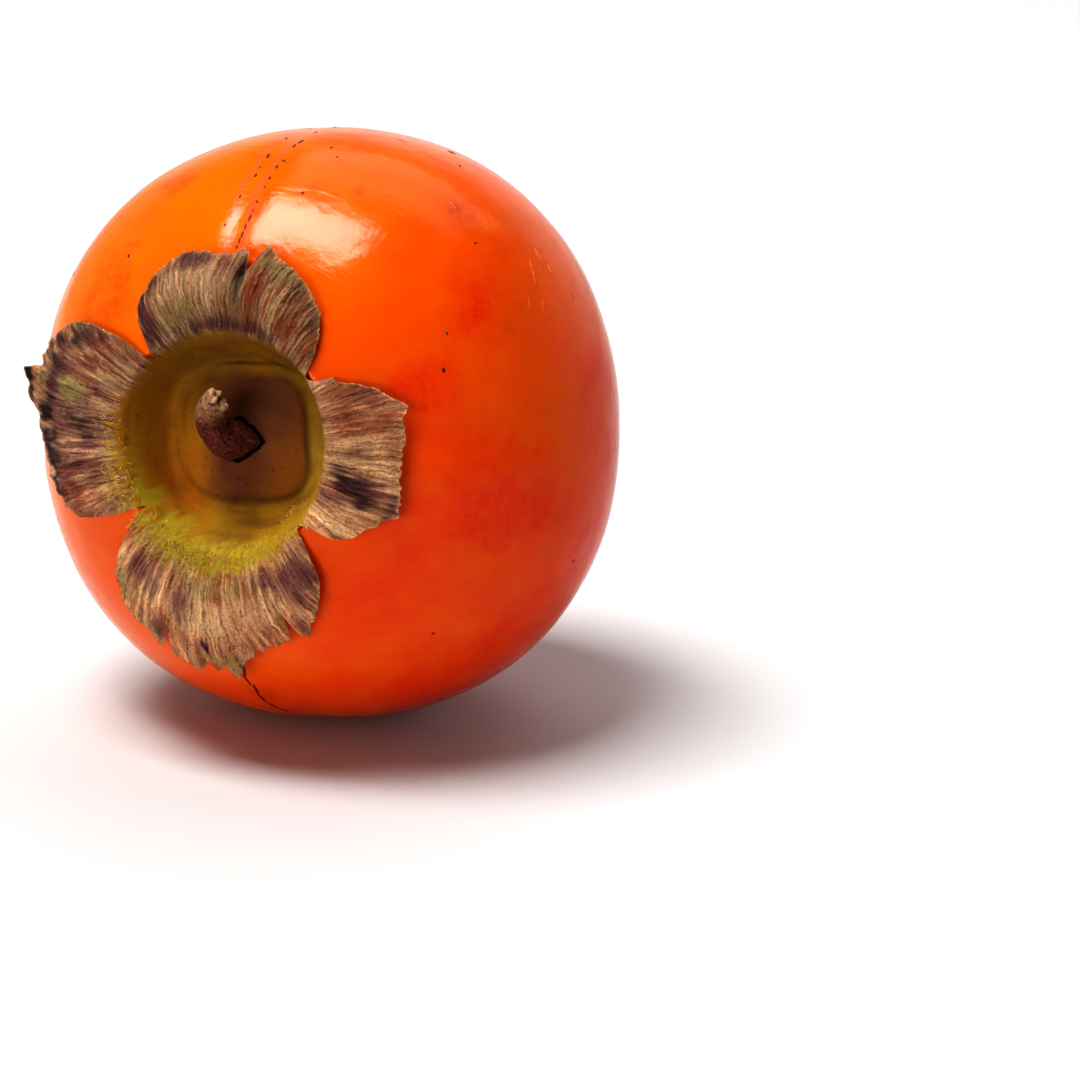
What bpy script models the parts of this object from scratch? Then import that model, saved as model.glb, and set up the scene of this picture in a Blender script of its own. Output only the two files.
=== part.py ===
"""A ripe persimmon lying on its side: the berry, its dry four-lobed calyx, the stub of its stalk and its style tip.

Run it with blender --background --python part.py, or from Blender's text editor. Units are metres and +Z is up.
The berry rests on a small flat spot in the plane z = 0, with the origin under the middle of the whole fruit. Every
piece is modelled about the axis of the fruit, which is the local +Z of one empty and points out through the calyx.
That empty lays the fruit down: the calyx faces -Y, raised a little. An angle round the axis is counted from +X,
anticlockwise for someone who looks at the calyx.
"""

import math

import bmesh
import bpy
from mathutils import Matrix, Vector

MM = 0.001

# The berry: its round outline from the side, and the four low lobes that make it slightly square from the end
FRUIT_RADIUS = 37.0 * MM
CALYX_END_HEIGHT = 30.5 * MM
STYLE_END_HEIGHT = 28.2 * MM
SHOULDER_POWER = 2.17
LOBE_SHARE = 0.0116
LOBE_ANGLE = math.radians(51)
STYLE_DIMPLE_RADIUS = 6.0 * MM
STYLE_DIMPLE_DEPTH = 0.9 * MM

# How it lies: the axis rises by this much towards the calyx, and the flat spot is cut this deep
AXIS_RISE = math.radians(9.5)
FLAT_DEPTH = 0.5 * MM

# The dish in the calyx end: a well with rounded corners, and a wall up to the round rim
RIM_RADIUS = 14.1 * MM
DISH_DEPTH = 7.05 * MM
WELL_HALF_WIDTH = 9.8 * MM
WELL_HALF_HEIGHT = 8.8 * MM
WELL_POWER = 3.2
WELL_TURN = math.radians(5)

# The calyx: a leathery sheet that lines the dish and opens into four lobes on the shoulder of the berry
GAP = 0.35 * MM
LOBE_THICKNESS = 0.8 * MM
DISH_THICKNESS = 1.2 * MM
ROOT_REACH = 13.8 * MM
LOBE_ROOT_WIDTH = 4.0 * MM
ARCH_HEIGHT = 0.7 * MM
PLEAT_COUNT = 18
PLEAT_HEIGHT = 0.25 * MM

# Edge of the calyx as (degrees round the axis, reach from the axis in mm), joined by a smooth curve
CALYX_EDGE = (
    # upper lobe, between two of the places where lobes meet
    (39, 14.3), (46, 16.5), (55, 19.2), (65, 20.8), (80, 22.2), (95, 21.5), (110, 22.2), (122, 20.6), (131, 18.0),
    # left lobe
    (137, 14.3), (143, 18.5), (151, 24.6), (162, 28.2), (175, 28.2), (188, 27.9), (200, 25.8), (209, 22.5), (216, 17.0),
    # lower lobe, the longest
    (221, 14.3), (226, 19.5), (233, 24.0), (245, 26.3), (257, 27.4), (270, 26.8), (283, 24.2), (297, 23.2), (311, 19.6),
    # right lobe, nearly square
    (321, 14.3), (328, 18.0), (337, 20.4), (347, 22.3), (358, 21.7), (375, 22.5), (383, 20.6), (391, 16.6),
)

# Tears and dry tips of that edge as (degrees, change of reach in mm, half their width in degrees)
EDGE_MARKS = ((88, -2.4, 4), (176, 2.6, 5), (252, -3.2, 5), (272, 1.6, 5), (292, -2.4, 4))

# How far the edge of the lobes lifts off the berry, as (degrees round the axis, lift in mm)
EDGE_LIFT = (
    (0, 1.0), (16, 1.6), (39, 0.5), (60, 1.0), (86, 1.4), (110, 0.9), (137, 0.5), (155, 0.8), (176, 2.2), (195, 1.0),
    (221, 0.4), (240, 0.8), (260, 1.3), (275, 1.6), (295, 1.2), (321, 0.5), (345, 1.4),
)

# The stub of the stalk: a foot shaped like a diamond on the floor of the dish, and a bent, broken-off neck
FOOT_HALF_WIDTH = 3.3 * MM
FOOT_HALF_HEIGHT = 2.5 * MM
FOOT_HEIGHT = 0.8 * MM
FOOT_POWER = 1.3
NECK_POWER = 2.0
STALK_SIDES = 16
# Middle of the foot and the neck, above the floor, with the radius of the neck there, all in mm
STALK_CENTRE = (-0.6, 0.0)
NECK_PATH = (
    ((-0.7, 0.1, 1.5), 2.1), ((-1.2, 0.4, 2.3), 1.7), ((-1.7, 1.0, 3.4), 1.55), ((-1.8, 2.0, 4.4), 1.5),
    ((-1.4, 3.2, 5.2), 1.5), ((-0.8, 4.3, 5.9), 1.5), ((-0.2, 5.2, 6.4), 1.4),
)

# The dry tip of the style, in the dimple at the far end of the berry
TIP_RADIUS = 1.5 * MM
TIP_POINT_RADIUS = 0.4 * MM
TIP_HEIGHT = 2.2 * MM
TIP_SIDES = 16

# Fineness of the meshes: steps round the axis, and rings from the middle of the dish outwards
BERRY_STEPS = 60
CALYX_STEPS = 90
FLOOR_RINGS = 2
WALL_RINGS = 9
LOBE_RINGS = 5
SHOULDER_RINGS = 10
STYLE_RINGS = 13
MERGE_DISTANCE = 0.0001 * MM
SHARP_ANGLE = math.radians(50)

# Colour, roughness and metallic value of each piece
FINISHES = {
    "fruit": ((0.90, 0.13, 0.006), 0.25, 0.0),
    "calyx": ((0.24, 0.17, 0.08), 0.8, 0.0),
    "stalk": ((0.28, 0.19, 0.09), 0.85, 0.0),
    "style_tip": ((0.03, 0.015, 0.01), 0.8, 0.0),
}


def smooth_step(share):
    share = min(1.0, max(0.0, share))
    return share * share * (3 - 2 * share)


def curve_round(points, angle):
    """Value at an angle of the smooth closed curve through points of (degrees, value)."""
    degrees = (math.degrees(angle) - points[0][0]) % 360 + points[0][0]
    count = len(points)
    rows = [(points[i % count][0] + 360 * (i // count), points[i % count][1]) for i in range(-1, count + 2)]
    for before, start, end, after in zip(rows, rows[1:], rows[2:], rows[3:]):
        if degrees <= end[0]:
            break
    span = end[0] - start[0]
    share = (degrees - start[0]) / span
    start_slope = (end[1] - before[1]) / (end[0] - before[0]) * span
    end_slope = (after[1] - start[1]) / (after[0] - start[0]) * span
    eased = smooth_step(share)
    bow = share * (1 - share) * (start_slope * (1 - share) - end_slope * share)
    return start[1] + (end[1] - start[1]) * eased + bow


def calyx_edge(angle):
    """Reach of the calyx at an angle, with its tears and tips."""
    reach = curve_round(CALYX_EDGE, angle)
    for degrees, change, half_width in EDGE_MARKS:
        distance = abs((math.degrees(angle) - degrees + 180) % 360 - 180)
        reach += change * max(0.0, 1 - distance / half_width)
    return reach * MM


def side_radius(angle):
    """Widest radius of the berry at an angle: the four lobes of its cross-section."""
    return FRUIT_RADIUS * (1 + LOBE_SHARE * math.cos(4 * (angle - LOBE_ANGLE)))


def shoulder_height(reach, angle):
    """Height of the calyx end above the berry's centre, before the dish is sunk into it."""
    share = min(1.0, reach / side_radius(angle))
    return CALYX_END_HEIGHT * (1 - share**SHOULDER_POWER) ** (1 / SHOULDER_POWER)


def well_radius(angle):
    """Edge of the floor of the dish: an oblong with rounded corners."""
    across = abs(math.cos(angle - WELL_TURN) / WELL_HALF_WIDTH) ** WELL_POWER
    up = abs(math.sin(angle - WELL_TURN) / WELL_HALF_HEIGHT) ** WELL_POWER
    return (across + up) ** (-1 / WELL_POWER)


def skin_point(reach, angle, inset=0.0):
    """A point of the calyx end, with the dish. An inset makes the dish narrower, for the sheet that lines it."""
    well = well_radius(angle)
    drop = DISH_DEPTH * smooth_step((RIM_RADIUS - reach - inset) / (RIM_RADIUS - well))
    return Vector((reach * math.cos(angle), reach * math.sin(angle), shoulder_height(reach, angle) - drop))


def shoulder_normal(reach, angle):
    """Outward direction of the shoulder, along which the calyx is lifted off it."""
    step = 0.05 * MM
    slope = (shoulder_height(reach + step, angle) - shoulder_height(reach, angle)) / step
    return Vector((-slope * math.cos(angle), -slope * math.sin(angle), 1.0)).normalized()


def berry_point(ring, angle):
    """Place of a point of the berry, by its ring from the middle of the dish to the style end."""
    well = well_radius(angle)
    if ring <= FLOOR_RINGS:
        return skin_point(well * ring / FLOOR_RINGS, angle)
    ring -= FLOOR_RINGS
    if ring <= WALL_RINGS:
        return skin_point(well + (RIM_RADIUS - well) * ring / WALL_RINGS, angle)
    ring -= WALL_RINGS
    power, height = 2.0, -STYLE_END_HEIGHT
    turn = math.pi / 2 * (1 - (ring - SHOULDER_RINGS) / STYLE_RINGS)
    if ring <= SHOULDER_RINGS:
        power, height = SHOULDER_POWER, CALYX_END_HEIGHT
        rim_turn = math.asin((RIM_RADIUS / side_radius(angle)) ** (SHOULDER_POWER / 2))
        turn = rim_turn + (math.pi / 2 - rim_turn) * ring / SHOULDER_RINGS
    reach = side_radius(angle) * max(0.0, math.sin(turn)) ** (2 / power)
    level = height * max(0.0, math.cos(turn)) ** (2 / power)
    if height < 0:
        level += STYLE_DIMPLE_DEPTH * smooth_step(1 - reach / STYLE_DIMPLE_RADIUS)
    return Vector((reach * math.cos(angle), reach * math.sin(angle), level))


def lobe_lift(share, angle):
    """Lift of a lobe off the berry: its arch, its pleats and its free edge. share runs from its root to its edge."""
    edge = curve_round(EDGE_LIFT, angle) * MM * share**2
    arch = ARCH_HEIGHT * math.sin(math.pi * share)
    pleat = PLEAT_HEIGHT * (1 + math.sin(PLEAT_COUNT * angle)) * smooth_step(2 * share)
    return edge + arch + pleat


def calyx_point(ring, angle, upper):
    """Place of a point of the calyx, by its ring from the middle of the dish to the edge of the lobes."""
    floor_edge = well_radius(angle) - GAP - DISH_THICKNESS
    edge = calyx_edge(angle)
    if ring <= FLOOR_RINGS:
        reach, share = floor_edge * ring / FLOOR_RINGS, 0.0
    elif ring <= FLOOR_RINGS + WALL_RINGS:
        reach, share = floor_edge + (ROOT_REACH - floor_edge) * (ring - FLOOR_RINGS) / WALL_RINGS, 0.0
    else:
        share = (ring - FLOOR_RINGS - WALL_RINGS) / LOBE_RINGS
        reach = ROOT_REACH + (edge - ROOT_REACH) * share
    lift = GAP + lobe_lift(share, angle) * smooth_step((edge - ROOT_REACH) / LOBE_ROOT_WIDTH)
    inset = GAP
    if upper:
        lift += DISH_THICKNESS + (LOBE_THICKNESS - DISH_THICKNESS) * smooth_step(2 * share)
        inset += DISH_THICKNESS
    return skin_point(reach, angle, inset) + shoulder_normal(reach, angle) * lift


def spin_rings(builder, ring_count, steps, closed):
    """A skin turned round the local Z axis, one mm wide, with ring number i at z = -i mm, for a formula to place."""
    radii = [0.0, *[MM] * (ring_count - 1), 0.0 if closed else MM]
    chain = [builder.verts.new((radius, 0, -ring * MM)) for ring, radius in enumerate(radii)]
    edges = [builder.edges.new(pair) for pair in zip(chain, chain[1:])]
    bmesh.ops.spin(
        builder, geom=[*chain, *edges], cent=(0, 0, 0), axis=(0, 0, 1), angle=math.tau, steps=steps, use_merge=True
    )
    bmesh.ops.remove_doubles(builder, verts=builder.verts, dist=MERGE_DISTANCE)


def ring_and_angle(vertex):
    return round(-vertex.co.z / MM), math.atan2(vertex.co.y, vertex.co.x)


def build_fruit(builder):
    """The berry, with the dish in its calyx end and the flat spot that it rests on."""
    ring_count = FLOOR_RINGS + WALL_RINGS + SHOULDER_RINGS + STYLE_RINGS
    spin_rings(builder, ring_count, BERRY_STEPS, closed=True)
    for vertex in builder.verts:
        vertex.co = berry_point(*ring_and_angle(vertex))
    down = Vector((0, -math.cos(AXIS_RISE), -math.sin(AXIS_RISE)))
    depth = max(vertex.co.dot(down) for vertex in builder.verts) - FLAT_DEPTH
    cut = bmesh.ops.bisect_plane(
        builder,
        geom=[*builder.verts, *builder.edges, *builder.faces],
        dist=MERGE_DISTANCE,
        plane_co=down * depth,
        plane_no=down,
        clear_outer=True,
    )
    rim = [item for item in cut["geom_cut"] if isinstance(item, bmesh.types.BMEdge)]
    bmesh.ops.contextual_create(builder, geom=rim)


def build_calyx(builder):
    """The sheet is split into triangles before it is doubled, so that both of its faces bend alike."""
    ring_count = FLOOR_RINGS + WALL_RINGS + LOBE_RINGS
    spin_rings(builder, ring_count, CALYX_STEPS, closed=False)
    bmesh.ops.triangulate(builder, faces=builder.faces)
    doubled = bmesh.ops.extrude_face_region(builder, geom=builder.faces[:])["geom"]
    upper = {item for item in doubled if isinstance(item, bmesh.types.BMVert)}
    for vertex in builder.verts:
        vertex.co = calyx_point(*ring_and_angle(vertex), vertex in upper)


def add_stalk_ring(builder, centre, half_width, half_height, power, direction):
    """One section of the stalk: a diamond with round corners at a power near 1, and an oval at 2."""
    section = bmesh.ops.create_circle(builder, segments=STALK_SIDES, radius=1)["verts"]
    turn_to = Vector((0, 0, 1)).rotation_difference(direction).to_matrix()
    for vertex in section:
        size = (abs(vertex.co.x) ** power + abs(vertex.co.y) ** power) ** (1 / power)
        flat = Vector((vertex.co.x * half_width / size, vertex.co.y * half_height / size, 0))
        vertex.co = centre + turn_to @ flat
    return list({edge for vertex in section for edge in vertex.link_edges})


def build_stalk(builder):
    """Sections from the foot to the broken end, bridged, and closed at both ends."""
    upright = Vector((0, 0, 1))
    foot = Vector((*STALK_CENTRE, 0)) * MM
    foot.z = skin_point(0, 0).z + GAP + DISH_THICKNESS + GAP
    sections = [
        add_stalk_ring(builder, foot, FOOT_HALF_WIDTH, FOOT_HALF_HEIGHT, FOOT_POWER, upright),
        add_stalk_ring(
            builder, foot + upright * FOOT_HEIGHT, FOOT_HALF_WIDTH, FOOT_HALF_HEIGHT, FOOT_POWER, upright
        ),
    ]
    floor = Vector((0, 0, foot.z))
    centres = [floor + Vector(place) * MM for place, radius in NECK_PATH]
    for i, centre in enumerate(centres):
        ahead = centres[min(i + 1, len(centres) - 1)] - centres[max(i - 1, 0)]
        radius = NECK_PATH[i][1] * MM
        sections.append(add_stalk_ring(builder, centre, radius, radius, NECK_POWER, ahead.normalized()))
    for lower, higher in zip(sections, sections[1:]):
        bmesh.ops.bridge_loops(builder, edges=[*lower, *higher])
    bmesh.ops.contextual_create(builder, geom=sections[0])
    bmesh.ops.contextual_create(builder, geom=sections[-1])


def build_style_tip(builder):
    base = -STYLE_END_HEIGHT + STYLE_DIMPLE_DEPTH - GAP
    place = Matrix.Translation((0, 0, base - TIP_HEIGHT / 2)) @ Matrix.Rotation(math.pi, 4, "X")
    bmesh.ops.create_cone(
        builder,
        cap_ends=True,
        segments=TIP_SIDES,
        radius1=TIP_RADIUS,
        radius2=TIP_POINT_RADIUS,
        depth=TIP_HEIGHT,
        matrix=place,
    )


def new_piece(name, build, axis_frame):
    """One named object on the fruit's axis, with its own material."""
    builder = bmesh.new()
    build(builder)
    bmesh.ops.recalc_face_normals(builder, faces=builder.faces)
    mesh = bpy.data.meshes.new(name)
    builder.to_mesh(mesh)
    builder.free()
    mesh.shade_smooth()
    mesh.set_sharp_from_angle(angle=SHARP_ANGLE)
    colour, roughness, metallic = FINISHES[name]
    material = bpy.data.materials.new(name)
    material.use_nodes = True
    shader = material.node_tree.nodes["Principled BSDF"]
    shader.inputs["Base Color"].default_value = (*colour, 1)
    shader.inputs["Roughness"].default_value = roughness
    shader.inputs["Metallic"].default_value = metallic
    mesh.materials.append(material)
    piece = bpy.data.objects.new(name, mesh)
    bpy.context.scene.collection.objects.link(piece)
    piece.parent = axis_frame
    return piece


def lay_down(axis_frame, pieces):
    """Tips the fruit onto its flat spot, with the origin under the middle of the box round all of its pieces."""
    axis_frame.rotation_euler = (math.pi / 2 - AXIS_RISE, 0, 0)
    tilt = axis_frame.rotation_euler.to_matrix()
    points = [tilt @ vertex.co for piece in pieces for vertex in piece.data.vertices]
    low = [min(point[i] for point in points) for i in range(3)]
    high = [max(point[i] for point in points) for i in range(3)]
    axis_frame.location = (-(low[0] + high[0]) / 2, -(low[1] + high[1]) / 2, -low[2])


def main():
    for old in list(bpy.data.objects):
        bpy.data.objects.remove(old)
    axis_frame = bpy.data.objects.new("fruit_axis", None)
    bpy.context.scene.collection.objects.link(axis_frame)
    pieces = [
        new_piece("fruit", build_fruit, axis_frame),
        new_piece("calyx", build_calyx, axis_frame),
        new_piece("stalk", build_stalk, axis_frame),
        new_piece("style_tip", build_style_tip, axis_frame),
    ]
    lay_down(axis_frame, pieces)
    bpy.context.view_layer.update()


main()
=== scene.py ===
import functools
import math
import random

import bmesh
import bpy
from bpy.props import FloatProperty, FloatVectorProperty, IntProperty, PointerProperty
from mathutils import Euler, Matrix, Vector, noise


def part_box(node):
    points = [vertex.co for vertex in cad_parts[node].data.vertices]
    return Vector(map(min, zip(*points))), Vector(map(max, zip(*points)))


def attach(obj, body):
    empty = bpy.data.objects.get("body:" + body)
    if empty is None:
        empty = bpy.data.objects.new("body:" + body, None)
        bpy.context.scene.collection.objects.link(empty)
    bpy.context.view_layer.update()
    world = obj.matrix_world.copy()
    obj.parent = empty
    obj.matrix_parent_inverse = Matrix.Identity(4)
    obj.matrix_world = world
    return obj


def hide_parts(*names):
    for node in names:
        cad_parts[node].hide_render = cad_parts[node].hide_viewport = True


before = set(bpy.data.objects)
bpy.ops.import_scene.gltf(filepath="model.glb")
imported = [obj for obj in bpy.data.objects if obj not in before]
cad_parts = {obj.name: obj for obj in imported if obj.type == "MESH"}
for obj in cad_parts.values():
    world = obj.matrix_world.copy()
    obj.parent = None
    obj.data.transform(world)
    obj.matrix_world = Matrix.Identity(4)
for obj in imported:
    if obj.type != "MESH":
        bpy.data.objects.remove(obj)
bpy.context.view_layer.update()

# A ripe persimmon lying on its side, finished for a close look.
#
# The berry has a glossy, slightly four-lobed skin with shallow furrows, scars and specks. A dry calyx lines the dish
# in its end: a smooth funnel with short green hairs along its rim, and four pleated, torn sepals. In the dish stands
# the broken stub of the stalk, and the far end carries the dry tip of the style.
#
# Every piece is modelled about the axis of the fruit, in the frame of one matrix that lays it down: there +Z points
# out through the calyx, +X is to the right and +Y up for someone who looks at the calyx. An angle is counted from +X,
# anticlockwise.

bl_info = {
    "name": "Persimmon",
    "version": (1, 0, 0),
    "blender": (4, 5, 0),
    "location": "3D View > Sidebar > Persimmon",
    "description": "Builds a ripe persimmon with its dry calyx, for a close look",
    "category": "Add Mesh",
}

MM = 0.001
BODY = "root"
# Width of the camera's sensor in mm, and the nearest and farthest that it sees in metres
SENSOR_WIDTH = 36.0
CAMERA_SEES = (0.01, 20.0)


def linear(hex_colour):
    """Linear red, green and blue of an sRGB colour such as #FF8000."""
    shares = [int(hex_colour[i : i + 2], 16) / 255 for i in (1, 3, 5)]
    return tuple(c / 12.92 if c <= 0.04045 else ((c + 0.055) / 1.055) ** 2.4 for c in shares)


def size(name, description, millimetres):
    return FloatProperty(name=name, description=description, default=millimetres * MM, unit="LENGTH", precision=5)


def turn(name, description, degrees):
    return FloatProperty(name=name, description=description, default=math.radians(degrees), subtype="ANGLE")


def share(name, description, value):
    return FloatProperty(name=name, description=description, default=value, subtype="FACTOR", precision=4)


def colour(name, description, hex_colour):
    return FloatVectorProperty(name=name, description=description, default=linear(hex_colour), subtype="COLOR", size=3)


class PersimmonBerrySettings(bpy.types.PropertyGroup):
    """Shape of the berry, and the colours of its skin"""

    radius: size("Widest radius", "Half the width of the berry across its axis", 37.0)
    calyx_end: size("Calyx end", "Height of the calyx end above the berry's middle", 30.5)
    style_end: size("Style end", "Depth of the style end below the berry's middle", 28.2)
    shoulder_power: FloatProperty(name="Shoulder power", description="2 is an ellipse, more is squarer", default=2.17)
    lobe_share: share("Lobes", "How far the four lobes swell, as a share of the radius", 0.0116)
    lobe_angle: turn("Lobe angle", "Where the first lobe is", 51)
    dimple_radius: size("Dimple radius", "Radius of the dimple at the style end", 6.0)
    dimple_depth: size("Dimple depth", "Depth of that dimple", 0.9)
    unevenness: size("Unevenness", "How far the skin dips in slow waves", 0.22)
    axis_rise: turn("Rise of the axis", "How far the axis rises towards the calyx", 9.5)
    rim_radius: size("Rim of the dish", "Radius of the rim of the dish in the calyx end", 14.1)
    dish_depth: size("Depth of the dish", "How far its floor is sunk below the shoulder", 7.05)
    well_half_width: size("Half width of the floor", "Half the width of the floor of the dish", 9.8)
    well_half_height: size("Half height of the floor", "Half the height of that floor", 8.8)
    # Amber and vermilion also stand for light and shade: the skin is painted amber where the light falls on its upper
    # left and vermilion on its shaded lower right.
    amber: colour("Amber", "Skin on the shaded side, near the calyx", "#E27400")
    orange: colour("Orange", "Most of the skin", "#DE5E00")
    vermilion: colour("Vermilion", "Skin on the sunny side and round the style end", "#D83000")
    bronze: colour("Bronze", "Faint russet in old rubbed patches", "#B04408")
    ochre: colour("Ochre", "Duller, browner skin in broad patches", "#C85A00")
    blush: colour("Blush", "Pale lines along the meridian, where the skin split and healed", "#F46A48")


class PersimmonCalyxSettings(bpy.types.PropertyGroup):
    """Shape and colours of the calyx"""

    gap: size("Gap", "Gap between the calyx and the skin", 0.35)
    disc_thickness: size("Thickness of the disc", "Thickness in the dish", 1.2)
    lobe_thickness: size("Thickness of the sepals", "Thickness at the free edge", 0.42)
    root_reach: size("Root of the sepals", "Distance from the axis at which the sepals begin", 13.8)
    pleat_height: size("Height of the pleats", "Height of the larger pleats", 0.32)
    pleat_count: IntProperty(name="Pleats", description="Larger pleats, if they went all round", default=72)
    tan: colour("Tan", "Dry sepal", "#BC9070")
    pale: colour("Pale", "Bleached ridges and edges", "#EAD0A8")
    rust: colour("Rust", "Red-brown stain", "#AC6240")
    plum: colour("Plum", "Purple-brown stain", "#7A4A54")
    soot: colour("Soot", "Nearly black, dead tissue", "#3A2A32")
    sage: colour("Sage", "Sepal that is still a little green", "#B0A070")
    lime: colour("Lime", "Fuzz that is still green", "#DCCC50")
    moss: colour("Moss", "Right wall of the funnel", "#D8B850")
    olive: colour("Olive", "Upper wall of the funnel", "#B88E34")
    ochre: colour("Ochre", "Left wall of the funnel", "#D8A032")
    honey: colour("Honey", "Lower left wall of the funnel", "#E09C34")
    mustard: colour("Mustard", "Lower wall of the funnel", "#D0AA38")
    umber: colour("Umber", "Floor of the dish", "#9E6848")
    amber: colour("Amber", "Warmer patches of that floor", "#B87A28")
    # Ink also paints shade: the dark in the crease round the floor and in the crack round the stalk is painted shade.
    ink: colour("Ink", "Crease round the floor, and the crack round the stalk", "#1E0D08")


class PersimmonStalkSettings(bpy.types.PropertyGroup):
    """Shape and colours of the stub of stalk and the style tip"""

    foot_half_width: size("Half width of the foot", "Half the width of the diamond foot", 3.3)
    foot_half_height: size("Half height of the foot", "Half its height", 2.5)
    foot_height: size("Height of the foot", "How far the foot stands up", 0.25)
    bark: colour("Bark", "Dry bark of the stub", "#6A3024")
    fibre: colour("Fibre", "Broken pale fibres", "#D8B48A")
    char: colour("Char", "Dried black tissue", "#1E1412")
    tip_radius: size("Radius of the style tip", "Radius where the dry tip leaves the berry", 1.3)
    tip_height: size("Height of the style tip", "Height of the dry tip", 2.1)


class PersimmonStageSettings(bpy.types.PropertyGroup):
    """Camera, lights and floor"""

    camera_azimuth: turn("Camera azimuth", "0 looks along +Y", 26.8)
    camera_elevation: turn("Camera elevation", "Height of the camera above the horizon", 15.0)
    camera_distance: size("Camera distance", "Distance from the middle of the berry", 372.5)
    lens: FloatProperty(name="Lens", description="Focal length in mm, on a sensor 36 mm wide", default=100.0)
    berry_left: share("Berry left", "Middle of the berry left of the picture's middle, as a share of its width", 0.1894)
    berry_up: share("Berry up", "Middle of the berry above the picture's middle, as a share of its width", 0.1111)
    key_distance: size("Key distance", "Distance of the softbox from the berry", 3840)
    key_width: size("Key width", "Long side of the softbox", 2300)
    key_height: size("Key height", "Short side of the softbox", 1380)
    key_azimuth: turn("Key azimuth", "Where the softbox hangs, with 0 in front of the berry", -50)
    key_elevation: turn("Key elevation", "Height of the softbox above the horizon", 72)
    key_roll: turn("Key roll", "Turn of the softbox in its own plane", -14)
    key_power: FloatProperty(name="Key power", description="Power of the softbox", default=113, unit="POWER")
    top_distance: size("Top distance", "Distance of the broad weak light above and behind the berry", 1600)
    top_width: size("Top width", "Long side of that light", 1500)
    top_height: size("Top height", "Short side of that light", 1100)
    top_azimuth: turn("Top azimuth", "Where it hangs, with 0 in front of the berry", -178)
    top_elevation: turn("Top elevation", "Height of it above the horizon", 62)
    top_power: FloatProperty(name="Top power", description="Power of that light", default=5.2, unit="POWER")
    backdrop_azimuth: turn("Backdrop azimuth", "Middle of the brighter wall, with 0 in front of the berry", 168)
    backdrop: FloatProperty(name="Backdrop", description="Brightness of the wall behind the fruit", default=0.72)
    walls: FloatProperty(name="Walls", description="Brightness of the walls of the room", default=0.24)
    ceiling: FloatProperty(name="Ceiling", description="Brightness of its ceiling", default=0.05)
    fill_distance: size("Fill distance", "Distance of the weaker light that looks into the dish", 1500)
    fill_width: size("Fill width", "Width of that light", 900)
    fill_height: size("Fill height", "Height of that light", 500)
    fill_azimuth: turn("Fill azimuth", "Where it stands, with 0 in front of the berry", -10)
    fill_elevation: turn("Fill elevation", "Height of it above the horizon", 4.5)
    fill_power: FloatProperty(name="Fill power", description="Power of the weaker light", default=7.5, unit="POWER")
    floor_radius: size("Floor radius", "Radius of the pale floor", 6000)
    floor: colour("Floor", "White, matt table top", "#D2D2D2")


# Edge of the calyx as (degrees round the axis, reach from the axis in mm), joined by a smooth curve
CALYX_EDGE = (
    # upper sepal, between two of the places where sepals meet
    (39, 13.7), (46, 16.3), (55, 19.2), (65, 20.8), (80, 22.2), (95, 21.5), (110, 22.2), (122, 20.6), (131, 18.0),
    # left sepal
    (137, 13.2), (143, 18.3), (151, 24.4), (162, 27.9), (175, 27.8), (188, 27.5), (200, 25.6), (209, 22.3),
    (216, 16.6),
    # lower sepal, the longest
    (221, 13.1), (226, 19.3), (233, 24.0), (245, 26.3), (257, 27.4), (270, 26.8), (283, 24.2), (297, 23.2),
    (311, 19.6),
    # right sepal, nearly square
    (321, 13.5), (328, 17.8), (337, 20.4), (347, 22.3), (358, 21.7), (375, 22.5), (383, 20.6), (391, 16.6),
)

# Tears and dry tips of that edge as (degrees, change of reach in mm, half their width in degrees)
EDGE_MARKS = (
    (85, -2.7, 2.0), (89.5, 0.6, 3), (81, 0.9, 3), (175, 2.4, 5.0), (170.4, 3.2, 3.2), (166.6, -0.8, 1.6),
    (251.5, -3.6, 1.6), (248, 0.7, 2.5), (271, 1.8, 2.5), (264, -1.2, 2.5), (279, -0.8, 1.6), (293, -2.8, 1.8),
    (297, 0.8, 2.5), (344, 0.8, 3), (16, 0.6, 3), (33, 0.8, 2),
)

# How far the free edge lifts off the berry, as (degrees round the axis, lift in mm)
EDGE_LIFT = (
    (0, 0.9), (16, 1.6), (30, 1.0), (39, 0.4), (60, 0.5), (86, 0.9), (110, 0.5), (128, 0.8), (137, 0.4), (150, 0.7),
    (160, 0.8), (171, 2.3), (182, 1.0), (197, 0.7), (212, 0.5), (221, 0.3), (232, 0.4), (250, 0.7), (262, 0.6),
    (275, 1.1), (293, 0.8), (308, 0.5), (321, 0.4), (333, 0.9), (345, 1.3),
)

# How far the belly of a sepal arches up, as (degrees round the axis, height in mm)
ARCH = (
    (0, 0.7), (39, 0.3), (60, 1.6), (90, 2.2), (118, 1.9), (137, 0.3), (160, 1.5), (185, 1.9), (208, 1.2), (221, 0.3),
    (240, 1.5), (262, 1.8), (290, 1.6), (321, 0.3), (340, 0.8),
)

# Creases of the berry between its lobes, as (degrees round the axis, half width in degrees, depth in mm)
FURROWS = ((95, 3.4, 0.14), (186, 5.5, 0.32), (276, 5.5, 0.28), (6, 5.0, 0.22))

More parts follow.
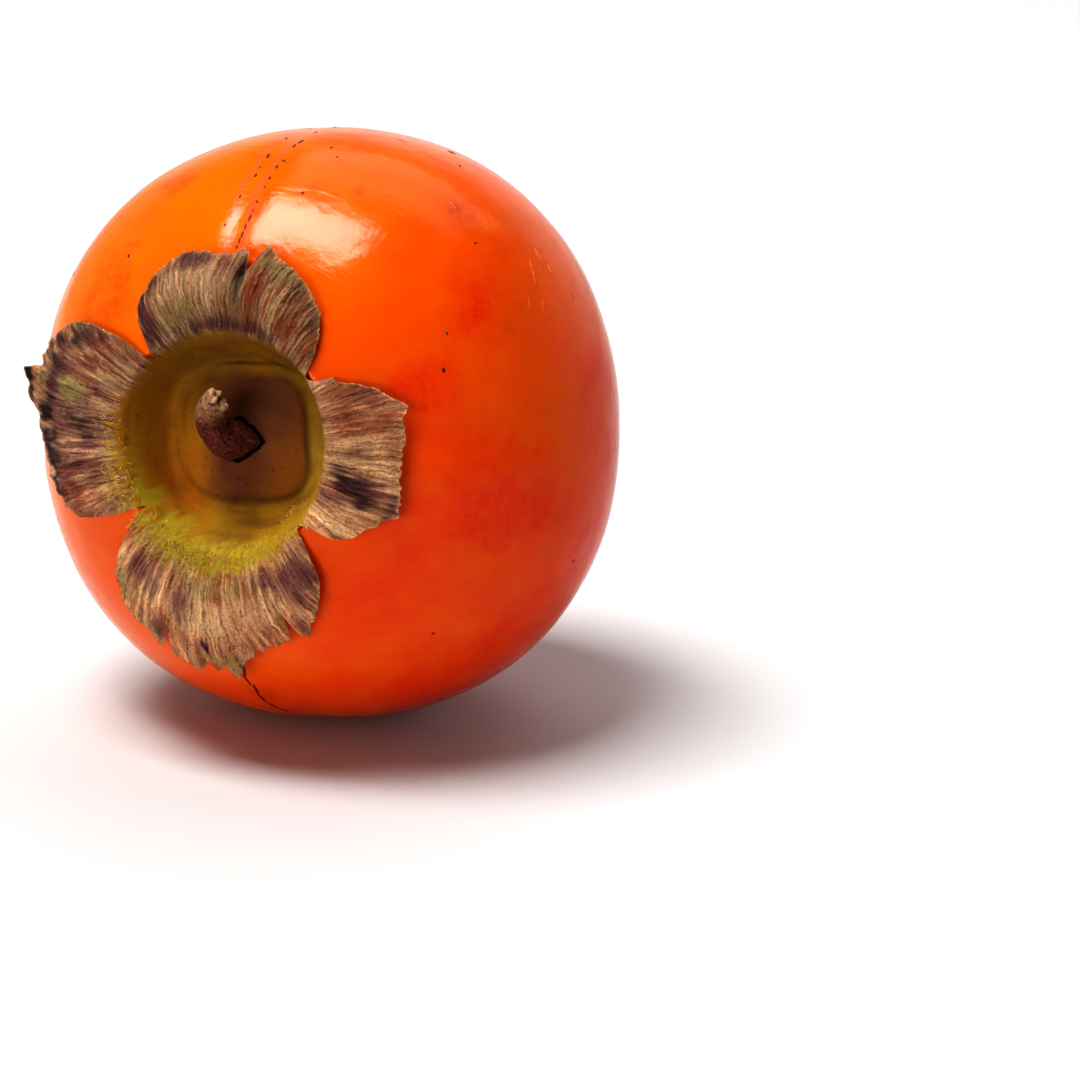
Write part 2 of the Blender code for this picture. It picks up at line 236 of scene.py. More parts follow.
# Smudges of the skin: (degrees round the axis, degrees from the calyx end, radius in mm, colour, strength)
SMUDGES = (
    (116, 64, 3.6, "bronze", 0.42), (148, 47, 4.5, "bronze", 0.34), (136, 49, 5.0, "vermilion", 0.28),
    (140, 41, 4.0, "vermilion", 0.28), (55, 71, 1.7, "bronze", 0.75), (52, 70, 3.2, "bronze", 0.35),
    (34, 61, 4.5, "vermilion", 0.55), (69, 93, 2.6, "bronze", 0.55), (71, 61, 1.2, "bronze", 0.45),
    (80, 58, 1.0, "bronze", 0.4), (44, 84, 8.0, "ochre", 0.5), (30, 70, 6.0, "ochre", 0.35),
    (60, 88, 7.0, "blush", 0.3), (112, 78, 6.0, "blush", 0.35), (165, 52, 5.0, "bronze", 0.22),
    (126, 56, 4.0, "ochre", 0.3), (92, 52, 3.0, "vermilion", 0.4), (20, 45, 5.0, "vermilion", 0.5),
    (350, 60, 9.0, "vermilion", 0.5), (300, 75, 8.0, "vermilion", 0.4), (205, 70, 7.0, "ochre", 0.4),
    (240, 85, 6.0, "bronze", 0.25), (270, 62, 3.0, "bronze", 0.4),
    # far side, out of the photograph's view
    (150, 110, 8.0, "bronze", 0.25), (60, 125, 7.0, "ochre", 0.4), (355, 110, 6.0, "bronze", 0.3),
    (250, 130, 7.0, "bronze", 0.25), (200, 140, 6.0, "ochre", 0.4), (100, 150, 5.0, "bronze", 0.3),
)

# Every colour of the calyx
PAINTS = (
    "tan", "pale", "rust", "plum", "soot", "sage", "lime", "moss", "olive", "ochre", "honey", "mustard", "umber",
    "amber", "ink",
)

# Paint of the funnel's wall, as (degrees round the axis, colour)
WALL_PAINTS = (
    (0, "moss"), (60, "olive"), (120, "olive"), (178, "ochre"), (222, "honey"), (262, "mustard"), (300, "mustard"),
    (330, "moss"),
)

# Where the dry sepals begin, as (degrees round the axis, distance from it in mm)
SEPAL_START = (
    (0, 12.5), (45, 12.5), (90, 12.3), (137, 12.3), (180, 13.5), (215, 13.4), (250, 14.3), (285, 14.1), (321, 13.0),
)

# Stains of the calyx: (degrees, reach in mm, half width in degrees, half length in mm, colour, strength)
STAINS = (
    # upper sepal: pale belly, plum along the left edge and the top, rust streaks at the right, green corner
    (106, 17.2, 13, 3.6, "pale", 0.5), (112, 15.0, 12, 2.0, "sage", 0.6), (128, 17.0, 6, 4.0, "plum", 0.9),
    (122, 19.6, 7, 1.8, "soot", 0.6), (106, 20.6, 11, 1.4, "plum", 0.7), (78, 16.4, 5, 4.5, "rust", 0.8),
    (62, 16.0, 9, 4.0, "rust", 0.7), (68, 16.5, 3, 4.5, "pale", 0.5), (48, 16.0, 7, 3.0, "rust", 0.5),
    (70, 20.4, 13, 1.8, "sage", 0.75), (85, 18.6, 2.2, 3.0, "soot", 0.75), (92, 13.6, 40, 0.9, "plum", 0.7),
    (130, 14.6, 10, 1.6, "plum", 0.6), (88, 19.0, 4, 2.0, "plum", 0.5), (54, 19.0, 6, 1.6, "pale", 0.4),
    # left sepal: plum and soot, with a pale green middle
    (178, 21.0, 36, 9.0, "plum", 0.62), (150, 22.0, 9, 4.5, "soot", 0.5), (158, 19.0, 12, 2.0, "rust", 0.35),
    (168, 19.6, 5, 1.7, "sage", 0.95), (172, 25.0, 6, 1.6, "sage", 0.6), (178, 23.6, 4.5, 2.0, "soot", 0.9),
    (180, 18.0, 5, 1.8, "soot", 0.75), (190, 23.5, 7, 2.6, "soot", 0.85), (160, 25.6, 7, 1.6, "soot", 0.7),
    (171, 30.6, 6, 2.6, "ink", 1.0), (174, 28.4, 5, 1.3, "soot", 0.9), (187, 19.5, 4, 1.6, "tan", 0.6),
    (204, 19.5, 9, 4.0, "rust", 0.45), (208, 17.5, 6, 2.2, "tan", 0.6), (198, 24.6, 6, 1.4, "soot", 0.5),
    (165, 22.5, 10, 1.2, "soot", 0.5), (152, 17.0, 8, 1.6, "tan", 0.5),
    # lower sepal: sage and tan, pale belly, plum towards the right and one dark spot
    (232, 22.5, 8, 4.0, "sage", 0.75), (262, 20.8, 9, 2.6, "pale", 0.30), (265, 23.4, 2.1, 1.1, "plum", 1.0),
    (265, 23.6, 1.3, 0.7, "soot", 0.7), (306, 17.5, 12, 4.0, "plum", 0.75), (270, 25.2, 10, 1.4, "sage", 0.6),
    (284, 19.6, 7, 2.6, "pale", 0.4), (240, 17.6, 9, 2.6, "plum", 0.6), (223, 16.6, 5, 3.5, "rust", 0.5),
    (257, 18.6, 2.5, 3.0, "plum", 0.7), (272, 17.4, 2.5, 2.0, "rust", 0.8), (249, 23.5, 2.5, 3.0, "plum", 0.6),
    (292, 16.0, 8, 1.6, "plum", 0.6), (268, 16.6, 18, 1.0, "sage", 0.6), (247, 25.5, 4, 1.4, "sage", 0.6),
    # right sepal: warm tan, with one big dark stain across its lower part
    (8, 18.0, 24, 6.0, "tan", 0.7), (14, 17.0, 8, 4.0, "rust", 0.45), (28, 16.0, 7, 2.6, "rust", 0.4),
    (358, 18.5, 5, 5.0, "pale", 0.55), (5, 16.5, 3, 4.0, "pale", 0.5), (20, 19.5, 5, 2.0, "plum", 0.35),
    (328, 15.5, 7, 2.6, "pale", 0.35), (336, 17.5, 5, 2.0, "pale", 0.4), (348, 17.5, 7.5, 4.6, "plum", 0.75),
    (353, 14.6, 4, 1.7, "soot", 0.6), (350, 16.5, 4, 2.0, "soot", 0.6), (345, 19.2, 4, 2.2, "soot", 0.7),
    (346, 21.2, 6, 1.4, "plum", 0.9), (341, 21.0, 4, 1.2, "soot", 0.6),
)

# Middle of the neck of the stub above its foot, with its radius, all in mm
NECK_PATH = (
    ((-0.7, 0.2, 1.1), 2.2), ((-1.1, 0.8, 2.0), 2.0), ((-1.4, 1.7, 2.9), 1.85), ((-1.5, 2.7, 3.6), 1.75),
    ((-1.3, 3.7, 4.1), 1.7), ((-0.9, 4.5, 4.4), 1.65), ((-0.3, 5.1, 4.4), 1.5),
)
# Middle of the foot from the axis in mm, its mean radius in mm, and the power of its outline: 1 is a diamond
STALK_CENTRE = (-0.6, 0.0)
FOOT_RADIUS = 2.9
FOOT_POWER = 1.3

# Scars on the skin: (degrees round the axis, degrees from the calyx end, length in mm, width in mm, heading)
# The heading is 0 along the meridian and 90 across it
SCARS = (
    # two dotted lines over the top, side by side
    (99, 47, 0.5, 0.35, 0), (97.4, 54, 0.5, 0.4, 0), (96, 60, 0.9, 0.45, 0), (96, 62.5, 0.5, 0.3, 0),
    (96, 66.5, 1.4, 0.5, 8), (96, 75, 0.8, 0.45, 30), (95.5, 84, 0.6, 0.4, 0), (93.6, 42, 0.6, 0.3, 0),
    (93.3, 43.4, 1.0, 0.3, 4), (93, 44.8, 1.2, 0.34, -4), (92.8, 46.6, 1.2, 0.28, 6), (92.4, 48.6, 1.4, 0.34, 0),
    (92.3, 50.4, 0.5, 0.28, 0), (92.2, 52.6, 0.6, 0.42, 30), (92.1, 56.5, 0.5, 0.35, 0), (92, 59, 0.8, 0.45, 20),
    (92, 62.5, 0.9, 0.5, 10), (91.4, 64.5, 1.0, 0.4, 60), (92, 70.5, 1.2, 0.5, 5), (91.6, 72.6, 1.6, 0.55, -6),
    (91.6, 79, 0.8, 0.4, 0), (91, 86, 1.2, 0.4, 0), (91.4, 93, 0.7, 0.35, 0),
    # single specks
    (82, 56, 0.6, 0.55, 0), (84, 71, 0.55, 0.5, 0), (130, 49, 0.8, 0.4, 10), (23, 50, 0.8, 0.5, 80),
    (31, 53, 0.5, 0.3, 80), (68, 90, 1.4, 0.5, 90), (81, 68, 0.5, 0.4, 0), (63, 84, 0.6, 0.4, 30),
    (46, 68, 0.5, 0.3, 0), (150, 66, 0.6, 0.4, 40), (205, 62, 0.5, 0.45, 0), (318, 60, 0.6, 0.4, 70),
    (340, 84, 0.7, 0.4, 20),
    # far side, out of the photograph's view
    (210, 110, 0.9, 0.4, 30), (160, 125, 0.7, 0.5, 0), (75, 120, 1.2, 0.4, 70), (20, 115, 0.6, 0.5, 0),
    (330, 130, 0.9, 0.4, 45), (250, 105, 0.6, 0.5, 0), (120, 140, 0.7, 0.4, 15), (0, 145, 0.5, 0.4, 0),
)
# The corky crack that runs down the meridian below the lowest sepal, as scars end to end
CRACK = (
    (269, 50, 2.9, 0.45, 6), (270.3, 53.2, 3.0, 0.55, -10), (269.7, 56.6, 3.0, 0.45, 8), (270.4, 60.2, 3.0, 0.5, -6),
    (270.2, 64, 3.2, 0.45, 6), (271, 68, 3.0, 0.35, 10), (272.2, 71.5, 2.6, 0.3, 14), (266, 52, 1.6, 0.3, -14),
    (267.4, 55, 1.8, 0.3, -4),
)
# How much of their length and width the scars keep, and how far scars and rubs stand out, in mm
SCAR_LENGTH_SHARE = 0.8
SCAR_WIDTH_SHARE = 0.72
SCAR_HEIGHT = 0.05
# Healed splits that the dotted lines follow, as (degrees round the axis, strength)
HEALED_SPLITS = ((97.0, 0.5), (93.0, 0.6))
# Rubbed grooves in the skin near its right shoulder, in the way that SCARS is written
RUBS = (
    (37.5, 82, 3.6, 0.42, 80), (39, 80.6, 2.4, 0.40, 81), (36.2, 76.5, 3.8, 0.30, 69), (31, 86, 1.6, 0.3, 70),
    (29.5, 75, 1.6, 0.28, 72), (31, 72, 1.2, 0.26, 70), (55, 70.5, 1.4, 0.4, 85), (76, 84, 1.4, 0.35, 85),
)

# Hairs along the rim of the funnel: least, most and likeliest degrees round the axis and reach, then sizes, in mm
HAIR_COUNT = 1500
HAIR_DEGREES = (160, 335, 250)
HAIR_REACHES = (11.2, 15.6, 13.2)
HAIR_LENGTHS = (0.35, 0.85)
HAIR_RADIUS_AT_ROOT = 0.055
HAIR_RADIUS_AT_TIP = 0.02
HAIR_SUNK = 0.08
HAIR_PAINTS = ("lime", "mustard", "sage", "pale", "honey")
# Where round the axis the green fuzz of that rim is thickest, in degrees
FUZZ_MIDDLE = 246

# Veins of the sepals run along circles of noise of this size, and change over this length in mm
VEIN_CIRCLE = 62
VEIN_LENGTH = 6.5

# Fineness of the meshes
BERRY_STEPS = 320
DISC_STEPS = 320
SEPAL_CUTS = 2
FLOOR_RINGS = 26
WALL_RINGS = 16
SEPAL_RINGS = 30
SHOULDER_RINGS = 72
STYLE_RINGS = 72
# The calyx is cut finer from this many rings inside the root of its sepals
FINE_RINGS = 3.5
SCAR_SUBDIVISIONS = 3
STUB_SIDES = 96
TIP_SIDES = 48
TIP_CUTS = 14
TABLE_SIDES = 96
MERGE_DISTANCE = 0.0001 * MM
# Angles that agree to this many digits share one spoke
SPOKE_DIGITS = 6

# The floor of the dish is a rounded square, turned a little
WELL_POWER = 3.2
WELL_TURN = math.radians(5)


def smooth_step(value):
    value = min(1.0, max(0.0, value))
    return value * value * (3 - 2 * value)


def mix(a, b, factor):
    return tuple(x + (y - x) * factor for x, y in zip(a, b))


def curve_round(points, angle):
    """Value at an angle of the smooth closed curve through points of (degrees, value)."""
    degrees = (math.degrees(angle) - points[0][0]) % 360 + points[0][0]
    count = len(points)
    rows = [(points[i % count][0] + 360 * (i // count), points[i % count][1]) for i in range(-1, count + 2)]
    for before, start, end, after in zip(rows, rows[1:], rows[2:], rows[3:]):
        if degrees <= end[0]:
            break
    span = end[0] - start[0]
    part = (degrees - start[0]) / span
    start_slope = (end[1] - before[1]) / (end[0] - before[0]) * span
    end_slope = (after[1] - start[1]) / (after[0] - start[0]) * span
    bow = part * (1 - part) * (start_slope * (1 - part) - end_slope * part)
    return start[1] + (end[1] - start[1]) * smooth_step(part) + bow


def away(angle, degrees):
    """How far an angle is from a number of degrees, signed, in degrees."""
    return (math.degrees(angle) - degrees + 180) % 360 - 180


def wander(angle, reach, scale, seed):
    """Smooth noise from -1 to 1 on the calyx, scale in mm, with no seam where the angles meet."""
    place = Vector((reach * math.cos(angle), reach * math.sin(angle), seed * MM)) / (scale * MM)
    return noise.noise(place)


def fan_noise(angle, reach, across, along, seed):
    """Noise in streaks that fan out from the axis. across is in degrees and along in mm."""
    radius = 180 / math.pi / across
    place = Vector((radius * math.cos(angle), radius * math.sin(angle), reach / (along * MM) + seed))
    return noise.noise(place)


def ring_noise(ray, size, along):
    """Noise that repeats at each full turn round the axis: its circle has this size, and along moves it on."""
    return noise.noise(Vector((size * ray.cos, size * ray.sin, along)))


def berry():
    return bpy.context.scene.persimmon_berry


def calyx():
    return bpy.context.scene.persimmon_calyx


def stalk():
    return bpy.context.scene.persimmon_stalk


@functools.lru_cache(maxsize=None)
def paints():
    """Every colour of the calyx by its name."""
    return {name: tuple(getattr(calyx(), name)) for name in PAINTS}


class Spoke:
    """What depends on the angle alone, worked out once for all the points at that angle."""

    def __init__(self, angle):
        shape = berry()
        self.angle = angle
        self.cos = math.cos(angle)
        self.sin = math.sin(angle)
        self.radius = shape.radius * (1 + shape.lobe_share * math.cos(4 * (angle - shape.lobe_angle)))
        across = abs(math.cos(angle - WELL_TURN) / shape.well_half_width) ** WELL_POWER
        up = abs(math.sin(angle - WELL_TURN) / shape.well_half_height) ** WELL_POWER
        self.well = (across + up) ** (-1 / WELL_POWER)
        self.furrow = sum(depth * math.exp(-((away(angle, at) / width) ** 2)) for at, width, depth in FURROWS) * MM
        self.lift = curve_round(EDGE_LIFT, angle) * MM
        self.start = curve_round(SEPAL_START, angle)
        self.edge = self.edge_reach() - 0.5 * self.lift
        self.arch = curve_round(ARCH, angle) * MM
        # Edge of the funnel's floor, and the root of the sepals
        self.floor_edge = self.well - calyx().gap - calyx().disc_thickness
        self.root = min(calyx().root_reach, self.edge - 0.2 * MM)

    def edge_reach(self):
        """Reach of the sepals, with their tears, tips and frayed rim."""
        reach = curve_round(CALYX_EDGE, self.angle)
        for degrees, change, half_width in EDGE_MARKS:
            reach += change * max(0.0, 1 - abs(away(self.angle, degrees)) / half_width)
        fray = 0.30 * fan_noise(self.angle, 0, 2.2, 1, 3) + 0.18 * fan_noise(self.angle, 0, 0.8, 1, 7)
        return (reach + fray * smooth_step((reach - 14) / 4)) * MM

    def point(self, reach, height):
        return Vector((reach * self.cos, reach * self.sin, height))


@functools.lru_cache(maxsize=None)
def spoke_at(rounded_angle):
    return Spoke(rounded_angle)


def spoke(angle):
    """The spoke at an angle, which is made once and kept."""
    return spoke_at(round(angle, SPOKE_DIGITS))


def shoulder_height(ray, reach):
    """Height of the berry's shoulder, before the dish is sunk into it."""
    shape = berry()
    part = min(1.0, reach / ray.radius)
    return shape.calyx_end * (1 - part**shape.shoulder_power) ** (1 / shape.shoulder_power)


def dish_drop(ray, reach):
    """How far the dish lies below the shoulder."""
    shape = berry()
    return shape.dish_depth * smooth_step((shape.rim_radius - reach) / (shape.rim_radius - ray.well))


def shoulder_normal(ray, reach):
    step = 0.05 * MM
    slope = (shoulder_height(ray, reach + step) - shoulder_height(ray, reach)) / step
    return Vector((-slope * ray.cos, -slope * ray.sin, 1.0)).normalized()


def laid_down():
    """The matrix that lays the fruit down where the frame has it: the box of the frame's own berry fixes its place."""
    shape = berry()
    tilt = Euler((math.pi / 2 - shape.axis_rise, 0, 0)).to_matrix()
    angles = [math.radians(degrees) for degrees in range(0, 360, 6)]
    places = [tilt @ berry_point(ring, angle, False) for angle in angles for ring in range(berry_rings() + 1)]
    low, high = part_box("fruit")
    back = high.y - max(place.y for place in places)
    up = high.z - max(place.z for place in places)
    return Matrix.Translation(((low.x + high.x) / 2, back, up)) @ tilt.to_4x4()


def berry_rings():
    return FLOOR_RINGS + WALL_RINGS + SHOULDER_RINGS + STYLE_RINGS


def berry_point(ring, angle, uneven=True):
    """Place of a point of the berry, by its ring from the middle of the dish to the style end."""
    shape = berry()
    ray = spoke(angle)
    rim = shape.rim_radius
    if ring <= FLOOR_RINGS + WALL_RINGS:
        if ring <= FLOOR_RINGS:
            reach = ray.well * ring / FLOOR_RINGS
        else:
            reach = ray.well + (rim - ray.well) * (ring - FLOOR_RINGS) / WALL_RINGS
        return ray.point(reach, shoulder_height(ray, reach) - dish_drop(ray, reach))
    ring -= FLOOR_RINGS + WALL_RINGS
    power, height = 2.0, -shape.style_end
    lean = math.pi / 2 * (1 - (ring - SHOULDER_RINGS) / STYLE_RINGS)
    if ring <= SHOULDER_RINGS:
        power, height = shape.shoulder_power, shape.calyx_end
        rim_lean = math.asin((rim / ray.radius) ** (power / 2))
        lean = rim_lean + (math.pi / 2 - rim_lean) * ring / SHOULDER_RINGS
    reach = ray.radius * max(0.0, math.sin(lean)) ** (2 / power)
    level = height * max(0.0, math.cos(lean)) ** (2 / power)
    if height < 0:
        level += shape.dimple_depth * smooth_step(1 - reach / shape.dimple_radius)
    place = ray.point(reach, level)
    if uneven:
        place *= 1 - skin_dip(ray, reach, level, place) / shape.radius
    return place


def skin_dip(ray, reach, level, place):
    """How far the skin dips: creases between the lobes, slow waves, and small wrinkles round the calyx."""
    shape = berry()
    crease_length = smooth_step((reach - shape.rim_radius) / (6 * MM)) * smooth_step((level + 16 * MM) / (26 * MM))
    dip = ray.furrow * crease_length
    dip += shape.unevenness * (0.5 + 0.5 * noise.noise(place / (11 * MM)))
    dip += 0.045 * MM * (0.5 + 0.5 * noise.noise(place / (3.2 * MM)))
    near_calyx = smooth_step(1 - (reach - 20 * MM) / (8 * MM)) if level > 0 else 0.0
    ripple = noise.noise(Vector((reach / (1.1 * MM), 9 * ray.cos, 9 * ray.sin)))
    return dip + 0.035 * MM * near_calyx * (0.5 + 0.5 * ripple)


@functools.lru_cache(maxsize=None)
def smudge_places():
    """The smudges as (direction from the middle of the berry, radius as an angle, colour, strength)."""
    places = []
    for degrees, from_calyx, radius, name, strength in SMUDGES:
        angle, lean = math.radians(degrees), math.radians(from_calyx)
        middle = Vector((math.sin(lean) * math.cos(angle), math.sin(lean) * math.sin(angle), math.cos(lean)))
        places.append((middle, radius * MM / berry().radius, tuple(getattr(berry(), name)), strength))
    return places


def smudge_tint(place):
    """Colour of the smudges at a place on the skin, with their strength as its alpha."""
    ragged = 0.5 * noise.noise(place / (2.6 * MM)) + 0.3 * noise.noise(place / (1.1 * MM))
    outward = place.normalized()
    tone, cover = (0.0, 0.0, 0.0), 0.0
    for middle, radius, paint, strength in smudge_places():
        distance = (outward - middle).length
        if distance < 2 * radius:
            inside = smooth_step((1.2 - distance / radius + ragged) / 1.1) * strength
            if inside > 0:
                tone = mix(tone, paint, inside / (inside + cover * (1 - inside)))
                cover = 1 - (1 - cover) * (1 - inside)
    return (*tone, cover)


def spin_rings(builder, ring_count, steps, closed):
    """A skin turned round the local Z axis, one mm wide, with ring number i at z = -i mm, for a formula to place."""
    radii = [0.0, *[MM] * (ring_count - 1), 0.0 if closed else MM]
    chain = [builder.verts.new((radius, 0, -ring * MM)) for ring, radius in enumerate(radii)]
    edges = [builder.edges.new(pair) for pair in zip(chain, chain[1:])]
    bmesh.ops.spin(
        builder, geom=[*chain, *edges], cent=(0, 0, 0), axis=(0, 0, 1), angle=math.tau, steps=steps, use_merge=True
    )
    bmesh.ops.remove_doubles(builder, verts=builder.verts, dist=MERGE_DISTANCE)


def ring_and_angle(vertex):
    """Number of the ring that a vertex of spun rings is on, and its angle."""
    return round(-vertex.co.z / MM), math.atan2(vertex.co.y, vertex.co.x)


def finish_piece(name, builder, material, slot, *nodes):
    """Turns a built mesh into a piece of the fruit, laid down in its mesh. It takes the place of the named nodes."""
    bmesh.ops.recalc_face_normals(builder, faces=builder.faces)
    builder.transform(laid_down())
    mesh = bpy.data.meshes.new(name)
    builder.to_mesh(mesh)
    builder.free()
    mesh.shade_smooth()
    mesh.materials.append(material)
    piece = bpy.data.objects.new(name, mesh)
    bpy.context.scene.collection.objects.link(piece)
    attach(piece, BODY)
    if nodes:
        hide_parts(*nodes)


# Kinds of node that the materials use often, and settings that go with them
NOISE = "ShaderNodeTexNoise"
MATH = "ShaderNodeMath"
VECTOR_MATH = "ShaderNodeVectorMath"
RANGE = "ShaderNodeMapRange"
BLEND = "ShaderNodeMix"
BUMP = "ShaderNodeBump"
ATTRIBUTE = "ShaderNodeAttribute"
SPLIT = "ShaderNodeSeparateXYZ"
DOT = {"operation": "DOT_PRODUCT"}
SOFT = {"interpolation_type": "SMOOTHSTEP"}
COLOURS = {"data_type": "RGBA"}


def new_material(name):
    material = bpy.data.materials.new(name)
    material.use_nodes = True
    return material, material.node_tree


def fill_inputs(tree, node, inputs):
    """Sets or links the inputs of a node."""
    for key, value in inputs.items():
        socket = node.inputs[key]
        if isinstance(value, bpy.types.NodeSocket):
            tree.links.new(value, socket)
        else:
            socket.default_value = (*value, 1) if socket.type == "RGBA" else value


def finish_material(material, inputs):
    """Sets or links the inputs of a material's shader."""
    fill_inputs(material.node_tree, material.node_tree.nodes["Principled BSDF"], inputs)
    return material


def add_node(tree, kind, inputs, output=0, **settings):
    """Adds a node with its settings and links, and gives one of its outputs."""
    added = tree.nodes.new(kind)
    for key, value in settings.items():
        setattr(added, key, value)
    fill_inputs(tree, added, inputs)
    return added.outputs[output]


def add_layers(tree, base, layers, blend_type="MIX"):
    """Lays colours over a base, each as (pattern, where it begins, where it is full, strength, colour)."""
    for pattern, begins, full, strength, tone in layers:
        part = add_node(tree, RANGE, {0: pattern, 1: begins, 2: full, 4: strength}, **SOFT)
        base = add_node(tree, BLEND, {0: part, 6: base, 7: tone}, 2, blend_type=blend_type, **COLOURS)
    return base


def fruit_coordinates(tree):
    """Object coordinates turned and centred on the axis of the fruit, in mm."""
    place = laid_down()
    inputs = {
        "Vector": add_node(tree, "ShaderNodeTexCoord", {}, "Object"),
        "Location": place.to_translation(),
        "Rotation": place.to_euler(),
        "Scale": (MM, MM, MM),
    }
    return add_node(tree, "ShaderNodeMapping", inputs, vector_type="TEXTURE")


def add_meridian(tree, place, degrees, strength):
    """Mask of a thin wavering line along a meridian of the berry, from the calyx to a little past the equator."""
    angle = math.radians(degrees)
    sideways = (math.sin(angle), -math.cos(angle), 0)
    outward = (math.cos(angle), math.sin(angle), 0)
    waver = add_node(tree, NOISE, {"Vector": place, "Scale": 1 / 9, "Detail": 2.0})
    off = add_node(tree, VECTOR_MATH, {0: place, 1: sideways}, "Value", **DOT)
    off = add_node(tree, MATH, {0: waver, 1: 3.0, 2: off}, operation="MULTIPLY_ADD")
    off = add_node(tree, MATH, {0: off, 1: 1.5}, operation="SUBTRACT")
    off = add_node(tree, MATH, {0: off}, operation="ABSOLUTE")
    line = add_node(tree, RANGE, {0: off, 1: 0.75, 2: 0.1}, **SOFT)
    along = add_node(tree, VECTOR_MATH, {0: place, 1: outward}, "Value", **DOT)
    outside = add_node(tree, RANGE, {0: along, 1: 17.0, 2: 21.0, 4: strength}, **SOFT)
    level = add_node(tree, SPLIT, {0: place}, "Z")
    ended = add_node(tree, RANGE, {0: level, 1: -9.0, 2: 6.0}, **SOFT)
    faded = add_node(tree, MATH, {0: outside, 1: ended}, operation="MULTIPLY")
    return add_node(tree, MATH, {0: line, 1: faded}, operation="MULTIPLY")


def skin_material():
    """Ripe persimmon skin: thin, waxy and glossy over soft flesh. The wax gives sharp reflections under which the
    colour drifts from amber by the calyx and the lit upper left to vermilion towards the lower right, partly the
    fruit's own colour and partly painted light and shade, with pale specks and faint russet."""
    skin = berry()
    material, tree = new_material("waxy_fruit_skin")
    place = fruit_coordinates(tree)
    # Colour drifts along a line from upper left by the calyx to lower right by the style end: partly the fruit's own
    # colour, partly painted light on the upper left, where the light falls, and painted shade on the lower right
    drift = add_node(tree, VECTOR_MATH, {0: place, 1: (-0.62, 0.52, 0.30)}, "Value", **DOT)
    cloud = add_node(tree, NOISE, {"Vector": place, "Scale": 1 / 17, "Detail": 3.0})
    wobble = add_node(tree, RANGE, {0: cloud, 1: 0.25, 2: 0.75, 3: -11.0, 4: 11.0}, **SOFT)
    drift = add_node(tree, MATH, {0: drift, 1: wobble}, operation="ADD")
    # Mottling of a few mm, a little lighter than the skin round it, and russet in larger patches
    mottle = add_node(tree, NOISE, {"Vector": place, "Scale": 1 / 3.5, "Detail": 4.0, "Roughness": 0.6})
    russet = add_node(tree, NOISE, {"Vector": place, "Scale": 1 / 6, "Detail": 5.0, "Roughness": 0.65})
    layers = (
        (drift, 4.0, 34.0, 1.0, skin.amber),
        (drift, -2.0, -36.0, 1.0, skin.vermilion),
        (mottle, 0.35, 0.75, 0.22, skin.amber),
        (russet, 0.62, 0.80, 0.45, skin.bronze),
    )
    base = add_layers(tree, skin.orange, layers)
    # Smudges that the piece's own attribute places, broken up by a fine grain
    smudge = add_node(tree, ATTRIBUTE, {}, "Color", attribute_name="smudge")
    grain = add_node(tree, NOISE, {"Vector": place, "Scale": 1 / 0.8, "Detail": 3.0, "Roughness": 0.6})
    grainy = add_node(tree, RANGE, {0: grain, 1: 0.25, 2: 0.75, 3: 0.45, 4: 1.5}, **SOFT)
    cover = {0: smudge.node.outputs["Alpha"], 1: grainy}
    broken = add_node(tree, MATH, cover, operation="MULTIPLY", use_clamp=True)
    base = add_node(tree, BLEND, {0: broken, 6: base, 7: smudge}, 2, **COLOURS)
    # Pale pores about 1.5 mm apart and 0.2 mm across
    pores = add_node(tree, "ShaderNodeTexVoronoi", {"Vector": place, "Scale": 1 / 1.5}, "Distance")
    base = add_layers(tree, base, [(pores, 0.16, 0.08, 0.16, skin.amber)])
    for degrees, strength in HEALED_SPLITS:
        line = add_meridian(tree, place, degrees, strength)
        base = add_node(tree, BLEND, {0: line, 6: base, 7: skin.blush}, 2, **COLOURS)
    # Relief of the wax: waves of 1.5 mm, and in patches fine wrinkles that run round the fruit
    peel = add_node(tree, NOISE, {"Vector": place, "Scale": 1 / 1.5, "Detail": 4.0, "Roughness": 0.62})
    stretched = add_node(tree, "ShaderNodeMapping", {"Vector": place, "Scale": (0.35, 0.35, 2.2)})
    wrinkle = add_node(tree, NOISE, {"Vector": stretched, "Scale": 1.0, "Detail": 2.0, "Roughness": 0.5})
    patch = add_node(tree, NOISE, {"Vector": place, "Scale": 1 / 7, "Detail": 1.0})
    wrinkled = add_node(tree, RANGE, {0: patch, 1: 0.45, 2: 0.65, 4: 1.2}, **SOFT)
    relief = add_node(tree, MATH, {0: wrinkle, 1: wrinkled, 2: peel}, operation="MULTIPLY_ADD")
    bump = add_node(tree, BUMP, {"Strength": 0.9, "Distance": 0.055 * MM, "Height": relief})
    # The wax coat makes the only reflection, and the flesh under it glows a little
    inputs = {
        "Base Color": base,
        "Roughness": 0.4,
        "Specular IOR Level": 0.0,
        "Subsurface Weight": 0.10,
        "Subsurface Radius": (1.0, 0.22, 0.04),
        "Subsurface Scale": 2.0 * MM,
        "Coat Weight": 1.0,
        "Coat Roughness": 0.17,
        "Coat IOR": 1.37,
        "Normal": bump,
        "Coat Normal": bump,
    }
    return finish_material(material, inputs)


def scar_material():
    """Corky scar tissue: dark, dry and matt against the gloss of the skin."""
    material, tree = new_material("corky_scar")
    grain = add_node(tree, NOISE, {"Vector": fruit_coordinates(tree), "Scale": 1 / 0.35, "Detail": 3.0})
    base = add_layers(tree, linear("#7A2412"), [(grain, 0.3, 0.7, 1.0, linear("#40120C"))])
    bump = add_node(tree, BUMP, {"Strength": 0.4, "Distance": 0.05 * MM, "Height": grain})
    return finish_material(material, {"Base Color": base, "Roughness": 0.6, "Normal": bump})


